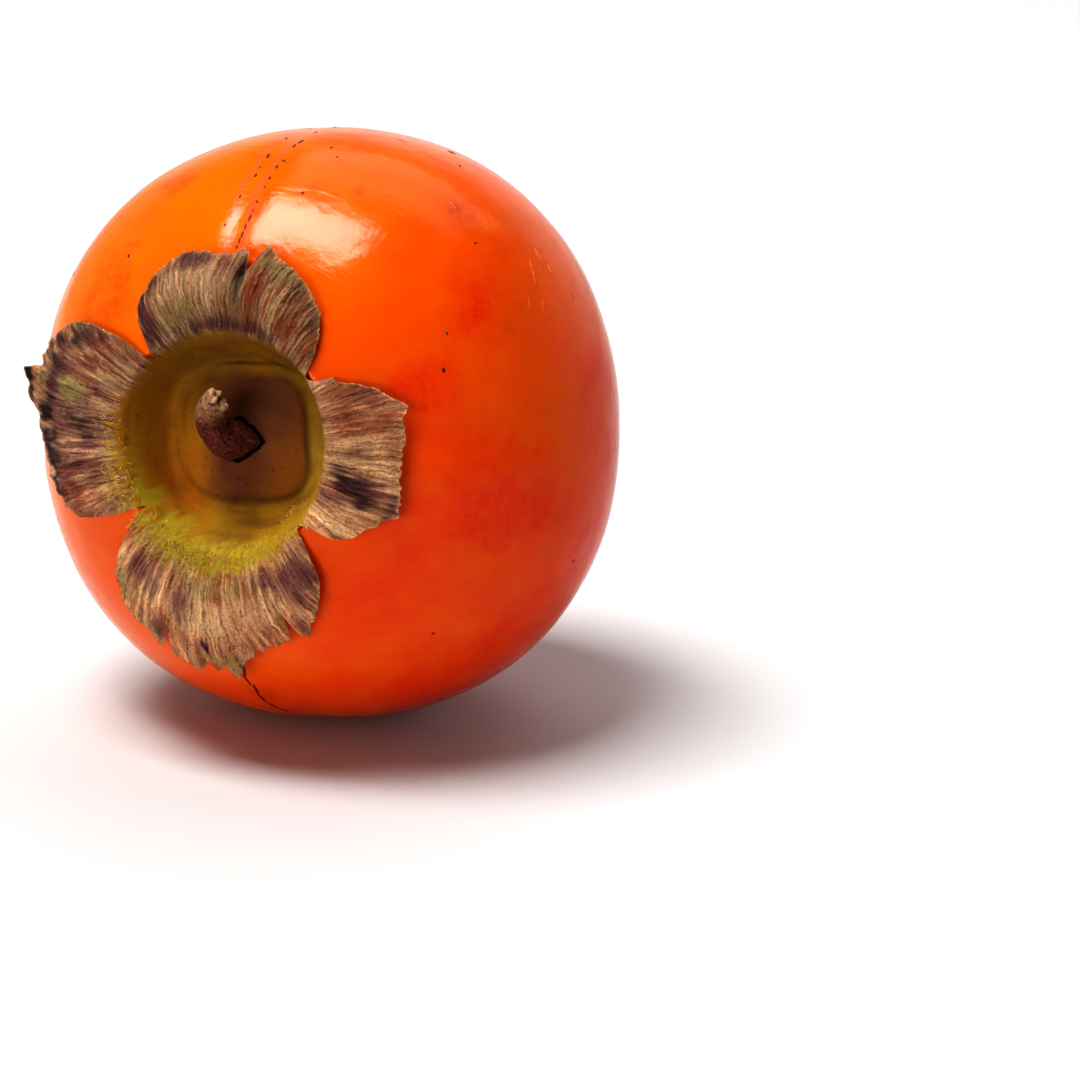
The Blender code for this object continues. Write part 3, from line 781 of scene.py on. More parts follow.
def rub_material():
    """Skin rubbed by a twig and healed over: lighter and duller than the wax round it."""
    material, tree = new_material("healed_rub")
    grain = add_node(tree, NOISE, {"Vector": fruit_coordinates(tree), "Scale": 1 / 0.6, "Detail": 3.0})
    base = add_layers(tree, linear("#F67A42"), [(grain, 0.35, 0.65, 1.0, linear("#D85418"))])
    return finish_material(material, {"Base Color": base, "Roughness": 0.4})


def add_crack_shade(tree, place):
    """Mask of the painted shade in the thin crack round the diamond foot of the stalk."""
    halves = (stalk().foot_half_width / MM, stalk().foot_half_height / MM)
    waver = add_node(tree, NOISE, {"Vector": place, "Scale": 1 / 1.1, "Detail": 2.0}, "Color")
    moved = add_node(tree, VECTOR_MATH, {0: waver, 1: (0.7, 0.7, 0.7), 2: place}, operation="MULTIPLY_ADD")
    parts = add_node(tree, SPLIT, {0: moved}).node.outputs
    shares = []
    for part, middle, half in zip(parts, STALK_CENTRE, halves):
        # The noise moves a place by half of 0.7 mm on average
        off = add_node(tree, MATH, {0: part, 1: middle + 0.35}, operation="SUBTRACT")
        off = add_node(tree, MATH, {0: off}, operation="ABSOLUTE")
        off = add_node(tree, MATH, {0: off, 1: half}, operation="DIVIDE")
        shares.append(add_node(tree, MATH, {0: off, 1: FOOT_POWER}, operation="POWER"))
    reach = add_node(tree, MATH, {0: shares[0], 1: shares[1]}, operation="ADD")
    reach = add_node(tree, MATH, {0: reach, 1: 1 / FOOT_POWER}, operation="POWER")
    beside = add_node(tree, MATH, {0: reach, 1: 1.0}, operation="SUBTRACT")
    beside = add_node(tree, MATH, {0: beside, 1: FOOT_RADIUS}, operation="MULTIPLY")
    inner = add_node(tree, RANGE, {0: beside, 1: -0.35, 2: -0.15}, **SOFT)
    outer = add_node(tree, RANGE, {0: beside, 1: 0.38, 2: 0.20}, **SOFT)
    return add_node(tree, MATH, {0: inner, 1: outer}, operation="MULTIPLY")


def calyx_material():
    """Dry, leathery sepal tissue: matt, with fine veins that fan out, stains and painted shade from its tint attribute,
    and painted shade in the crack round the stalk.
    """
    material, tree = new_material("dry_sepal")
    base = add_node(tree, ATTRIBUTE, {}, "Color", attribute_name="tint")
    fan = add_node(tree, ATTRIBUTE, {}, "Vector", attribute_name="fan")
    veining = add_node(tree, ATTRIBUTE, {}, "Fac", attribute_name="veining")
    place = fruit_coordinates(tree)
    # Veins 0.3 mm apart at the middle of a sepal and many times longer than they are wide
    buckle = add_node(tree, NOISE, {"Vector": place, "Scale": 1 / 1.6, "Detail": 2.0}, "Color")
    wavy = add_node(tree, VECTOR_MATH, {0: buckle, 1: (2.6, 2.6, 0.5), 2: fan}, operation="MULTIPLY_ADD")
    veins = add_node(tree, NOISE, {"Vector": wavy, "Scale": 1.15, "Detail": 3.0, "Roughness": 0.62})
    # Speckle of 0.3 mm, as dead cells darken or bleach one by one
    speckle = add_node(tree, NOISE, {"Vector": place, "Scale": 1 / 0.32, "Detail": 2.0, "Roughness": 0.7})
    for pattern, begins, full, strength, tone in (
        (veins, 0.48, 0.30, 0.7, linear("#9A7468")),
        (veins, 0.50, 0.70, 0.9, (1.55, 1.5, 1.42)),
        (speckle, 0.55, 0.70, 0.42, linear("#70504C")),
        (speckle, 0.45, 0.30, 0.38, (1.5, 1.46, 1.36)),
    ):
        on_sepals = add_node(tree, MATH, {0: veining, 1: strength}, operation="MULTIPLY")
        base = add_layers(tree, base, [(pattern, begins, full, on_sepals, tone)], "MULTIPLY")
    # The funnel is smooth, with a faint grain
    grain = add_node(tree, NOISE, {"Vector": place, "Scale": 1 / 0.7, "Detail": 4.0, "Roughness": 0.65})
    base = add_layers(tree, base, [(grain, 0.56, 0.72, 0.30, linear("#8A6A58"))], "MULTIPLY")
    # Painted shade: ink fills the crack round the foot of the stalk
    base = add_node(tree, BLEND, {0: add_crack_shade(tree, place), 6: base, 7: calyx().ink}, 2, **COLOURS)
    veined = add_node(tree, MATH, {0: veins, 1: veining}, operation="MULTIPLY")
    relief = add_node(tree, MATH, {0: speckle, 1: 0.3, 2: veined}, operation="MULTIPLY_ADD")
    bump = add_node(tree, BUMP, {"Strength": 0.8, "Distance": 0.24 * MM, "Height": relief})
    inputs = {"Base Color": base, "Roughness": 0.75, "Specular IOR Level": 0.25, "Normal": bump}
    return finish_material(material, inputs)


def fuzz_material():
    """Short, soft plant hairs: matt, with a soft sheen along their sides."""
    material, tree = new_material("soft_green_hair")
    tint = add_node(tree, ATTRIBUTE, {}, "Color", attribute_name="tint")
    inputs = {"Base Color": tint, "Roughness": 0.7, "Specular IOR Level": 0.3, "Sheen Weight": 0.2}
    return finish_material(material, inputs)


def stalk_material():
    """Dry bark, rough and dull, with pale fibres where it is broken."""
    material, tree = new_material("dry_stalk_bark")
    tint = add_node(tree, ATTRIBUTE, {}, "Color", attribute_name="tint")
    place = fruit_coordinates(tree)
    grain = add_node(tree, NOISE, {"Vector": place, "Scale": 1 / 0.5, "Detail": 5.0, "Roughness": 0.7})
    layers = ((grain, 0.50, 0.36, 0.85, stalk().char), (grain, 0.55, 0.72, 0.35, stalk().fibre))
    base = add_layers(tree, tint, layers)
    bump = add_node(tree, BUMP, {"Strength": 0.8, "Distance": 0.2 * MM, "Height": grain})
    return finish_material(material, {"Base Color": base, "Roughness": 0.8, "Normal": bump})


def floor_material():
    """Table top of white laminate: matt, so it takes soft shadows and shows no reflection."""
    material, _ = new_material("matt_table_top")
    return finish_material(material, {"Base Color": bpy.context.scene.persimmon_stage.floor, "Roughness": 0.7})


class PERSIMMON_OT_berry(bpy.types.Operator):
    """Build the berry with its lobes, furrows, dish and resting spot"""

    bl_idname = "persimmon.berry"
    bl_label = "Berry"

    def execute(self, context):
        builder = bmesh.new()
        spin_rings(builder, berry_rings(), BERRY_STEPS, closed=True)
        smudge = builder.verts.layers.float_color.new("smudge")
        for vertex in builder.verts:
            vertex.co = berry_point(*ring_and_angle(vertex))
            vertex[smudge] = smudge_tint(vertex.co)
        to_world = laid_down()
        up = to_world.inverted().to_3x3() @ Vector((0, 0, 1))
        cut = bmesh.ops.bisect_plane(
            builder,
            geom=[*builder.verts, *builder.edges, *builder.faces],
            dist=MERGE_DISTANCE,
            plane_co=up * -to_world.translation.z,
            plane_no=-up,
            clear_outer=True,
        )
        rim = [item for item in cut["geom_cut"] if isinstance(item, bmesh.types.BMEdge)]
        bmesh.ops.contextual_create(builder, geom=rim)
        finish_piece("berry_skin", builder, skin_material(), "skin", "fruit")
        return {"FINISHED"}


def surface_frame(degrees, from_calyx):
    """A place on the skin and the directions along its meridian, across it and outwards."""
    angle, lean = math.radians(degrees), math.radians(from_calyx)

    def at(angle, lean):
        shape = berry()
        ray = spoke(angle)
        power, height = (shape.shoulder_power, shape.calyx_end) if lean < math.pi / 2 else (2.0, shape.style_end)
        along, out = abs(math.cos(lean)) / height, math.sin(lean) / ray.radius
        distance = (along**power + out**power) ** (-1 / power)
        place = ray.point(distance * math.sin(lean), distance * math.cos(lean))
        dip = skin_dip(ray, distance * math.sin(lean), distance * math.cos(lean), place)
        return place * (1 - dip / shape.radius)

    step = 0.01
    middle = at(angle, lean)
    along = (at(angle, lean + step) - at(angle, lean - step)).normalized()
    across = (at(angle + step, lean) - at(angle - step, lean)).normalized()
    return middle, along, across, along.cross(across).normalized()


def add_scar(builder, chooser, scar):
    """A low, ragged scab sunk into the skin: a flattened ball, long along its heading."""
    degrees, from_calyx, length, width, heading = scar
    middle, along, across, outward = surface_frame(degrees, from_calyx)
    turned = math.radians(heading)
    long_way = along * math.cos(turned) + across * math.sin(turned)
    wide_way = outward.cross(long_way)
    made = bmesh.ops.create_icosphere(builder, subdivisions=SCAR_SUBDIVISIONS, radius=1)["verts"]
    seed = chooser.uniform(0, 90)
    for vertex in made:
        spot = vertex.co.copy()
        ragged = 1 + 0.35 * noise.noise(spot * 2.2 + Vector((seed, 0, 0)))
        place = middle + long_way * (spot.x * length * ragged * MM / 2) + wide_way * (spot.y * width * ragged * MM / 2)
        rise = spot.z * SCAR_HEIGHT * (1 + 0.5 * noise.noise(spot * 3 + Vector((0, seed, 0))))
        bow = (spot.x * length * MM / 2) ** 2 / (2 * berry().radius)
        vertex.co = place + outward * (rise * MM - bow)


class PERSIMMON_OT_scars(bpy.types.Operator):
    """Build the specks, the corky crack and the rubbed grooves of the skin"""

    bl_idname = "persimmon.scars"
    bl_label = "Scars"

    def execute(self, context):
        chooser = random.Random(4)
        builder = bmesh.new()
        for degrees, from_calyx, length, width, heading in (*SCARS, *CRACK):
            sizes = (SCAR_LENGTH_SHARE * length, SCAR_WIDTH_SHARE * width)
            add_scar(builder, chooser, (degrees, from_calyx, *sizes, heading))
        finish_piece("skin_scars", builder, scar_material(), "skin")
        builder = bmesh.new()
        for scar in RUBS:
            add_scar(builder, chooser, scar)
        finish_piece("healed_rubs", builder, rub_material(), "skin")
        return {"FINISHED"}


def pleats(ray, reach, part):
    """Relief of a sepal: fanned pleats that wander, and finer ones between them."""
    shape = calyx()
    angle = ray.angle + 0.06 * fan_noise(ray.angle, reach, 12, 7, 11) + 0.012 * fan_noise(ray.angle, reach, 4, 1.6, 19)
    waves = 0.5 + 0.5 * math.sin(shape.pleat_count * angle)
    strength = smooth_step(0.45 + 1.2 * fan_noise(ray.angle, reach, 14, 9, 5))
    fine = 0.5 + 0.5 * math.sin(2.7 * shape.pleat_count * angle + 3 * fan_noise(ray.angle, reach, 5, 4, 6))
    finer = fan_noise(angle, reach, 0.8, 3, 8)
    height = shape.pleat_height * strength * waves + 0.13 * MM * fine + 0.08 * MM * finer
    return height * smooth_step(part * 3.5)


def crumple(ray, reach):
    """Slow buckling of the dry tissue, and small crumples that run across the pleats."""
    slow = 0.55 * wander(ray.angle, reach, 6.0, 20)
    quick = 0.20 * wander(ray.angle, reach, 2.0, 40)
    across = 0.10 * ring_noise(ray, 22, reach / (0.55 * MM))
    return (slow + quick + across) * MM


def calyx_point(ring, angle, upper):
    """Place of a point of the calyx, with its share of the way from the root to the edge of a sepal."""
    shape = calyx()
    ray = spoke(angle)
    part = max(0.0, (ring - FLOOR_RINGS - WALL_RINGS) / SEPAL_RINGS)
    if ring <= FLOOR_RINGS:
        reach = ray.floor_edge * ring / FLOOR_RINGS
    elif ring <= FLOOR_RINGS + WALL_RINGS:
        reach = ray.floor_edge + (ray.root - ray.floor_edge) * (ring - FLOOR_RINGS) / WALL_RINGS
    else:
        reach = ray.root + (ray.edge - ray.root) * part
    width = smooth_step((ray.edge - ray.root) / (4 * MM))
    relief = ray.lift * part**2 + ray.arch * math.sin(math.pi * part) + max(0.0, pleats(ray, reach, part))
    relief += crumple(ray, reach) * smooth_step(part * 2.5)
    lift = shape.gap + max(0.0, relief) * width
    inset = shape.gap
    if upper:
        thickness = shape.disc_thickness + (shape.lobe_thickness - shape.disc_thickness) * smooth_step(2 * part)
        lift += thickness + disc_relief(ray, reach, 1 - smooth_step((part - 0.1) / 0.4))
        inset += shape.disc_thickness
    base = ray.point(reach, shoulder_height(ray, reach) - dish_drop(ray, reach + inset))
    return base + shoulder_normal(ray, reach) * lift, reach, part


def floor_reach(ray):
    """Distance from the axis to the crease round the floor of the funnel."""
    return 0.965 * ray.floor_edge


def crack_distance(ray, reach):
    """How far in mm a place on the floor lies outside the diamond foot of the stalk."""
    across = abs(reach * ray.cos - STALK_CENTRE[0] * MM) / stalk().foot_half_width
    up = abs(reach * ray.sin - STALK_CENTRE[1] * MM) / stalk().foot_half_height
    return ((across**FOOT_POWER + up**FOOT_POWER) ** (1 / FOOT_POWER) - 1) * FOOT_RADIUS


def disc_relief(ray, reach, rooted):
    """Relief of the funnel: the crease round its floor, folds in its wall, the crack round the stalk, and fuzz."""
    beyond = (reach - floor_reach(ray)) / MM
    line = beyond - 0.2 + 0.25 * wander(ray.angle, reach, 5, 12)
    crease = -0.16 * math.exp(-((line / 0.34) ** 2)) + 0.10 * math.exp(-(((line - 0.75) / 0.4) ** 2))
    wall = smooth_step((beyond - 0.9) / 0.8) * smooth_step((13.0 * MM - reach) / (1.5 * MM))
    folds = wall * 0.22 * ring_noise(ray, 2, 1.5 * reach / MM)
    folds += wall * 0.10 * ring_noise(ray, 5, 3.6 * reach / MM)
    rough = 0.05 * wander(ray.angle, reach, 0.9, 9) + 0.16 * wander(ray.angle, reach, 3.6, 15)
    beside = crack_distance(ray, reach)
    pit = -0.9 * smooth_step((0.5 - beside) / 0.30)
    swell = 0.40 * smooth_step((2.4 - beside) / 1.8) * smooth_step((beside - 0.2) / 0.4)
    ring = smooth_step(1 - abs(reach / MM - 13.6) / 2.0) * smooth_step(1.45 - abs(away(ray.angle, FUZZ_MIDDLE)) / 60)
    fuzz = 0.34 * ring * noise.noise(Vector((reach * ray.cos, reach * ray.sin, 0)) / (0.55 * MM))
    return (crease + folds + rough + pit + swell + fuzz) * MM * rooted


def wall_paint(ray, paint):
    """Colour of the funnel's wall at an angle, blended round the axis."""
    degrees = math.degrees(ray.angle) % 360
    rows = [*WALL_PAINTS, (WALL_PAINTS[0][0] + 360, WALL_PAINTS[0][1])]
    for start, end in zip(rows, rows[1:]):
        if start[0] <= degrees <= end[0]:
            return mix(paint[start[1]], paint[end[1]], smooth_step((degrees - start[0]) / (end[0] - start[0])))
    return paint[rows[0][1]]


def funnel_tint(ray, reach, paint):
    """Colour of the floor and the wall of the funnel, with painted shade along the crease round the floor, and of the
    green fuzz along its rim.
    """
    distance = reach / MM
    beyond = distance - floor_reach(ray) / MM
    wall = wall_paint(ray, paint)
    # The floor is like the wall at its left, purple-brown round the stalk and amber at its right
    drift = wander(ray.angle, reach, 4.0, 71)
    across, up = distance * ray.cos, distance * ray.sin
    patch = wander(ray.angle, reach, 1.6, 72)
    floor = mix(wall, paint["umber"], smooth_step((across + 7.2 + 2.4 * drift + 0.8 * patch) / 6.0))
    floor = mix(floor, paint["amber"], 0.8 * smooth_step((across - 0.4 * up - 1.8 + 2.4 * drift + 0.8 * patch) / 6.0))
    cloud = wander(ray.angle, reach, 3.2, 44)
    wall = mix(wall, paint["umber"], 0.30 * smooth_step(cloud * 1.8))
    wall = mix(wall, paint["honey"], 0.25 * smooth_step(-cloud * 1.8))
    arcs = ring_noise(ray, 1.6, 1.9 * distance + 0.8 * cloud)
    wall = mix(wall, paint["umber"], 0.42 * smooth_step(arcs * 2.6 - 0.25))
    tone = mix(floor, wall, smooth_step((beyond + 0.7 + 0.7 * wander(ray.angle, reach, 2.6, 60)) / 2.2))
    # Painted shade along the crease round the floor, darkest at its lower right, and a second dark line on the upper
    # wall
    off = beyond - 0.2 + 0.35 * wander(ray.angle, reach, 5, 12)
    dark = 0.12 + 0.30 * smooth_step(0.5 + 0.6 * math.cos(ray.angle + 0.7)) + 0.25 * fan_noise(ray.angle, 0, 20, 1, 77)
    dark = max(0.0, dark)
    tone = mix(tone, paint["ink"], dark * math.exp(-((off / 0.36) ** 2)))
    # Painted shade on the floor just inside the crease
    tone = mix(tone, paint["ink"], 0.5 * dark * smooth_step((1.2 + off) / 1.2) * smooth_step(-off / 0.2))
    second = (beyond - 1.9 + 0.3 * wander(ray.angle, reach, 3, 13)) / 0.26
    tone = mix(tone, paint["ink"], 0.6 * math.exp(-(second**2)) * smooth_step(1.2 - abs(away(ray.angle, 84)) / 42))
    window = smooth_step(1.45 - abs(away(ray.angle, FUZZ_MIDDLE)) / 56)
    fluff = smooth_step((distance - 10.9 - 1.3 * wander(ray.angle, reach, 1.6, 61)) / 1.3)
    tufts = smooth_step(0.55 + 1.4 * wander(ray.angle, reach, 0.7, 62))
    tone = mix(tone, paint["lime"], window * fluff * (0.30 + 0.70 * tufts))
    specks = smooth_step(2.8 * wander(ray.angle, reach, 0.6, 63) - 0.9)
    return mix(tone, paint["rust"], 0.7 * window * fluff * specks)


def sepal_tint(ray, reach, paint):
    """Colour of a sepal: dry tissue with its stains, with painted shade darkening the upper sepal and painted light
    lightening the lower ones.
    """
    distance = reach / MM
    sepal = mix(paint["tan"], paint["pale"], max(0.0, 0.22 + 0.7 * fan_noise(ray.angle, reach, 6, 4, 30)))
    sepal = mix(sepal, paint["plum"], 0.5 * smooth_step(1.6 * wander(ray.angle, reach, 3.0, 33) - 0.25))
    sepal = mix(sepal, paint["sage"], 0.4 * smooth_step(1.6 * wander(ray.angle, reach, 2.4, 35) - 0.2))
    band = fan_noise(ray.angle, reach, 1.5, 7, 31)
    sepal = mix(sepal, paint["plum"] if band > 0 else paint["pale"], min(0.32, 0.8 * abs(band)))
    ragged = 0.5 * wander(ray.angle, reach, 1.8, 90) + 0.5 * fan_noise(ray.angle, reach, 3, 4, 17)
    ragged += 0.6 * fan_noise(ray.angle, reach, 1.0, 2.6, 23)
    for degrees, at, half_width, half_length, name, strength in STAINS:
        side = away(ray.angle, degrees) / half_width
        inside = 1.15 - math.hypot(side, (distance - at) / half_length) + ragged
        if inside > 0:
            sepal = mix(sepal, paint[name], strength * smooth_step(inside / 0.9))
    # Painted shade and light by height: the upper sepal is painted darker and the lower sepals lighter.
    painted_light_and_shade = 1.16 - 0.24 * ray.sin
    return tuple(min(0.9, painted_light_and_shade * part) for part in sepal)


def calyx_tint(ray, reach):
    """Colour of the calyx at a place, from its floor out to the edge of the sepals."""
    paint = paints()
    distance = reach / MM
    comb = smooth_step(1.3 - abs(away(ray.angle, 212)) / 50)
    start = ray.start + (0.7 + 1.6 * comb) * fan_noise(ray.angle, 0, 2.0, 1, 50) + 0.5 * wander(ray.angle, reach, 2, 60)
    outer = smooth_step((distance - start) / 1.0)
    tone = funnel_tint(ray, reach, paint) if outer < 1 else paint["tan"]
    if outer > 0:
        tone = mix(tone, sepal_tint(ray, reach, paint), outer)
    rim = smooth_step((distance - ray.edge / MM + 0.35) / 0.25)
    return mix(tone, paint["pale"], 0.5 * rim * smooth_step((distance - 15) / 2))


class PERSIMMON_OT_calyx(bpy.types.Operator):
    """Build the calyx: its funnel and its four pleated sepals"""

    bl_idname = "persimmon.calyx"
    bl_label = "Calyx"

    def execute(self, context):
        builder = bmesh.new()
        spin_rings(builder, FLOOR_RINGS + WALL_RINGS + SEPAL_RINGS, DISC_STEPS, closed=False)
        fine_from = -(FLOOR_RINGS + WALL_RINGS - FINE_RINGS) * MM
        around = [
            edge
            for edge in builder.edges
            if abs(edge.verts[0].co.z - edge.verts[1].co.z) < MM / 2 and edge.verts[0].co.z < fine_from
        ]
        bmesh.ops.subdivide_edges(builder, edges=around, cuts=SEPAL_CUTS, use_grid_fill=True)
        bmesh.ops.triangulate(builder, faces=builder.faces)
        doubled = bmesh.ops.extrude_face_region(builder, geom=builder.faces[:])["geom"]
        upper = {item for item in doubled if isinstance(item, bmesh.types.BMVert)}
        tint = builder.verts.layers.float_color.new("tint")
        fan = builder.verts.layers.float_vector.new("fan")
        veining = builder.verts.layers.float.new("veining")
        tones = {}
        for vertex in builder.verts:
            ring, angle = ring_and_angle(vertex)
            vertex.co, reach, part = calyx_point(ring, angle, vertex in upper)
            ray = spoke(angle)
            key = (ring, round(angle, SPOKE_DIGITS))
            if key not in tones:
                tones[key] = (*calyx_tint(ray, reach), 1)
            vertex[tint] = tones[key]
            vertex[fan] = (VEIN_CIRCLE * ray.cos, VEIN_CIRCLE * ray.sin, reach / (VEIN_LENGTH * MM))
            vertex[veining] = smooth_step((reach / MM - ray.start + 0.4) / 1.5)
        finish_piece("calyx_sheet", builder, calyx_material(), "calyx", "calyx")
        return {"FINISHED"}


def upper_place(angle, reach):
    """Place on the upper side of the calyx at a distance from its axis."""
    ray = spoke(angle)
    ring = FLOOR_RINGS + WALL_RINGS * (reach - ray.floor_edge) / (ray.root - ray.floor_edge)
    if reach > ray.root:
        ring = FLOOR_RINGS + WALL_RINGS + SEPAL_RINGS * (reach - ray.root) / (ray.edge - ray.root)
    return calyx_point(ring, angle, True)[0]


class PERSIMMON_OT_fuzz(bpy.types.Operator):
    """Build the short hairs along the rim of the funnel"""

    bl_idname = "persimmon.fuzz"
    bl_label = "Fuzz"

    def execute(self, context):
        chooser = random.Random(11)
        builder = bmesh.new()
        tint = builder.verts.layers.float_color.new("tint")
        step = 0.1 * MM
        for _ in range(HAIR_COUNT):
            angle = math.radians(chooser.triangular(*HAIR_DEGREES))
            reach = chooser.triangular(*HAIR_REACHES) * MM
            # None grows close to the edge, in the notches between the sepals
            if reach > spoke(angle).edge - 1.2 * MM:
                continue
            root = upper_place(angle, reach)
            out = (upper_place(angle, reach + step) - root).normalized()
            side = (upper_place(angle + step / reach, reach) - root).normalized()
            away_from = out.cross(side).normalized()
            lean = Vector((chooser.gauss(0, 0.5), chooser.gauss(0.35, 0.5)))
            heading = (away_from + side * lean.x + out * lean.y).normalized()
            length = chooser.uniform(*HAIR_LENGTHS) * MM
            turned = Vector((0, 0, 1)).rotation_difference(heading).to_matrix().to_4x4()
            made = bmesh.ops.create_cone(
                builder, cap_ends=True, segments=3, radius1=HAIR_RADIUS_AT_ROOT * MM, radius2=HAIR_RADIUS_AT_TIP * MM,
                depth=length, matrix=Matrix.Translation(root + heading * (length / 2 - HAIR_SUNK * MM)) @ turned,
            )["verts"]
            shade = mix(paints()["lime"], paints()[chooser.choice(HAIR_PAINTS)], chooser.random())
            for vertex in made:
                vertex[tint] = (*shade, 1)
        finish_piece("calyx_fuzz", builder, fuzz_material(), "calyx")
        return {"FINISHED"}


class PERSIMMON_OT_stalk(bpy.types.Operator):
    """Build the stub of the stalk: its diamond foot, bent neck and broken end"""

    bl_idname = "persimmon.stalk"
    bl_label = "Stalk"

    def execute(self, context):
        sizes = stalk()
        shape = calyx()
        floor = shoulder_height(spoke(0.0), 0.0) - dish_drop(spoke(0.0), 0.0) + shape.disc_thickness + 2 * shape.gap
        foot = Vector((STALK_CENTRE[0] * MM, STALK_CENTRE[1] * MM, floor))
        up = Vector((0, 0, 1))
        sections = [
            (foot + up * height, sizes.foot_half_width * part, sizes.foot_half_height * part, power, up)
            for height, part, power in (
                (-0.5 * MM, 0.96, FOOT_POWER), (0, 0.98, FOOT_POWER), (sizes.foot_height, 0.92, FOOT_POWER + 0.05)
            )
        ]
        path = smooth_path([(Vector(place) * MM + up * floor, radius * MM) for place, radius in NECK_PATH])
        for i, (centre, radius) in enumerate(path):
            ahead = path[min(i + 1, len(path) - 1)][0] - path[max(i - 1, 0)][0]
            sections.append((centre, radius, radius, 2.0, ahead.normalized()))
        builder = bmesh.new()
        build_tube(builder, sections, sizes)
        finish_piece("stalk_stub", builder, stalk_material(), "stalk", "stalk")
        return {"FINISHED"}


def smooth_path(path, parts=6):
    """More places along a bent path, on a smooth curve through the given ones."""
    fine = []
    for i in range(len(path) - 1):
        before, start, end, after = (path[min(max(i + k, 0), len(path) - 1)] for k in (-1, 0, 1, 2))
        for step in range(parts):
            t = step / parts
            weights = (
                (-t + 2 * t**2 - t**3) / 2,
                (2 - 5 * t**2 + 3 * t**3) / 2,
                (t + 4 * t**2 - 3 * t**3) / 2,
                (t**3 - t**2) / 2,
            )
            centre = sum((w * p[0] for w, p in zip(weights, (before, start, end, after))), Vector())
            radius = sum(w * p[1] for w, p in zip(weights, (before, start, end, after)))
            fine.append((centre, radius))
    fine.append(path[-1])
    return fine


def build_tube(builder, sections, sizes):
    """Bridges ragged sections into the stub, ends it in a broken, hollow tip, and colours bark, fibre and break, with
    painted shade inside the hollow end.
    """
    tint = builder.verts.layers.float_color.new("tint")
    centre, half_width, half_height, power, direction = sections[-1]
    broken = [
        (centre + direction * depth * MM, half_width * part, half_height * part, power, direction)
        for depth, part in ((0.25, 0.9), (0.3, 0.72), (0.1, 0.45), (0.0, 0.2))
    ]
    rings = []
    for number, (centre, half_width, half_height, power, direction) in enumerate([*sections, *broken]):
        ring = bmesh.ops.create_circle(builder, segments=STUB_SIDES, radius=1)["verts"]
        turn_to = Vector((0, 0, 1)).rotation_difference(direction).to_matrix()
        along = number / len(sections)
        for vertex in ring:
            spot = vertex.co.copy()
            length = (abs(spot.x) ** power + abs(spot.y) ** power) ** (1 / power)
            bark = 1 + 0.10 * noise.noise(Vector((spot.x * 2.2, spot.y * 2.2, along * 4)))
            bark += 0.07 * noise.noise(Vector((spot.x * 7, spot.y * 7, along * 9)))
            flat = Vector((spot.x * half_width / length, spot.y * half_height / length, 0)) * bark
            splinter = noise.noise(Vector((spot.x * 2.5, spot.y * 2.5, 5))) * smooth_step((along - 0.9) / 0.1)
            vertex.co = centre + turn_to @ flat + direction * (0.55 * splinter * MM)
            end = smooth_step((along - 0.92 + 0.08 * noise.noise(spot * 3)) / 0.08)
            shade = mix(tuple(sizes.bark), tuple(sizes.fibre), 0.3 * smooth_step((along - 0.45) / 0.4) + 0.45 * end)
            # Painted shade: the inner rings of the hollow end are darkened towards char
            hollow = 0.55 * smooth_step((number - len(sections) - 0.5) / 2)
            vertex[tint] = (*mix(shade, tuple(sizes.char), hollow), 1)
        rings.append(ring)
    edges = [list({edge for vertex in ring for edge in vertex.link_edges}) for ring in rings]
    for lower, higher in zip(edges, edges[1:]):
        bmesh.ops.bridge_loops(builder, edges=[*lower, *higher])
    bmesh.ops.contextual_create(builder, geom=edges[0])
    bmesh.ops.contextual_create(builder, geom=edges[-1])


class PERSIMMON_OT_style_tip(bpy.types.Operator):
    """Build the dry tip of the style at the far end"""

    bl_idname = "persimmon.style_tip"
    bl_label = "Style tip"

    def execute(self, context):
        sizes = stalk()
        builder = bmesh.new()
        base = -berry().style_end + berry().dimple_depth - calyx().gap
        bmesh.ops.create_cone(
            builder, cap_ends=True, segments=TIP_SIDES, radius1=sizes.tip_radius, radius2=0.3 * sizes.tip_radius,
            depth=sizes.tip_height,
        )
        sides = [edge for edge in builder.edges if abs(edge.verts[0].co.z - edge.verts[1].co.z) > MM]
        bmesh.ops.subdivide_edges(builder, edges=sides, cuts=TIP_CUTS, use_grid_fill=True)
        tint = builder.verts.layers.float_color.new("tint")
        for vertex in builder.verts:
            spot = vertex.co / MM
            along = 0.5 + spot.z / (sizes.tip_height / MM)
            angle = math.atan2(spot.y, spot.x)
            waist = 1 - 0.35 * math.sin(math.pi * min(1.0, along * 1.1)) + 0.12 * math.cos(4 * angle)
            rough = 1 + 0.25 * noise.noise(Vector((math.cos(angle) * 2, math.sin(angle) * 2, along * 3)))
            vertex.co.xy *= waist * rough
            vertex.co.z = base - (vertex.co.z + sizes.tip_height / 2)
            vertex[tint] = (*mix(tuple(sizes.char), tuple(sizes.bark), 0.25), 1)
        finish_piece("style_remnant", builder, stalk_material(), "style_tip", "style_tip")
        return {"FINISHED"}


def direction_to(azimuth, elevation):
    """Direction from the berry to an azimuth and elevation, with azimuth 0 in front of it."""
    level = math.cos(elevation)
    return Vector((math.sin(azimuth) * level, -math.cos(azimuth) * level, math.sin(elevation)))


def add_softbox(stage, name, centre, long_side=None):
    """A rectangular light that faces the berry. Its long side is level unless one is given."""
    distance, width, height, azimuth, elevation, power = (
        getattr(stage, f"{name}_{part}") for part in ("distance", "width", "height", "azimuth", "elevation", "power")
    )
    toward = direction_to(azimuth, elevation)
    light = bpy.data.lights.new(name, "AREA")
    light.shape = "RECTANGLE"
    light.size = width
    light.size_y = height
    light.energy = power
    softbox = bpy.data.objects.new(name, light)
    long_side = long_side or Vector((math.cos(azimuth), math.sin(azimuth), 0))
    short_side = toward.cross(long_side).normalized()
    softbox.location = centre + toward * distance
    softbox.rotation_euler = Matrix((short_side.cross(toward), short_side, toward)).transposed().to_euler()
    bpy.context.scene.collection.objects.link(softbox)


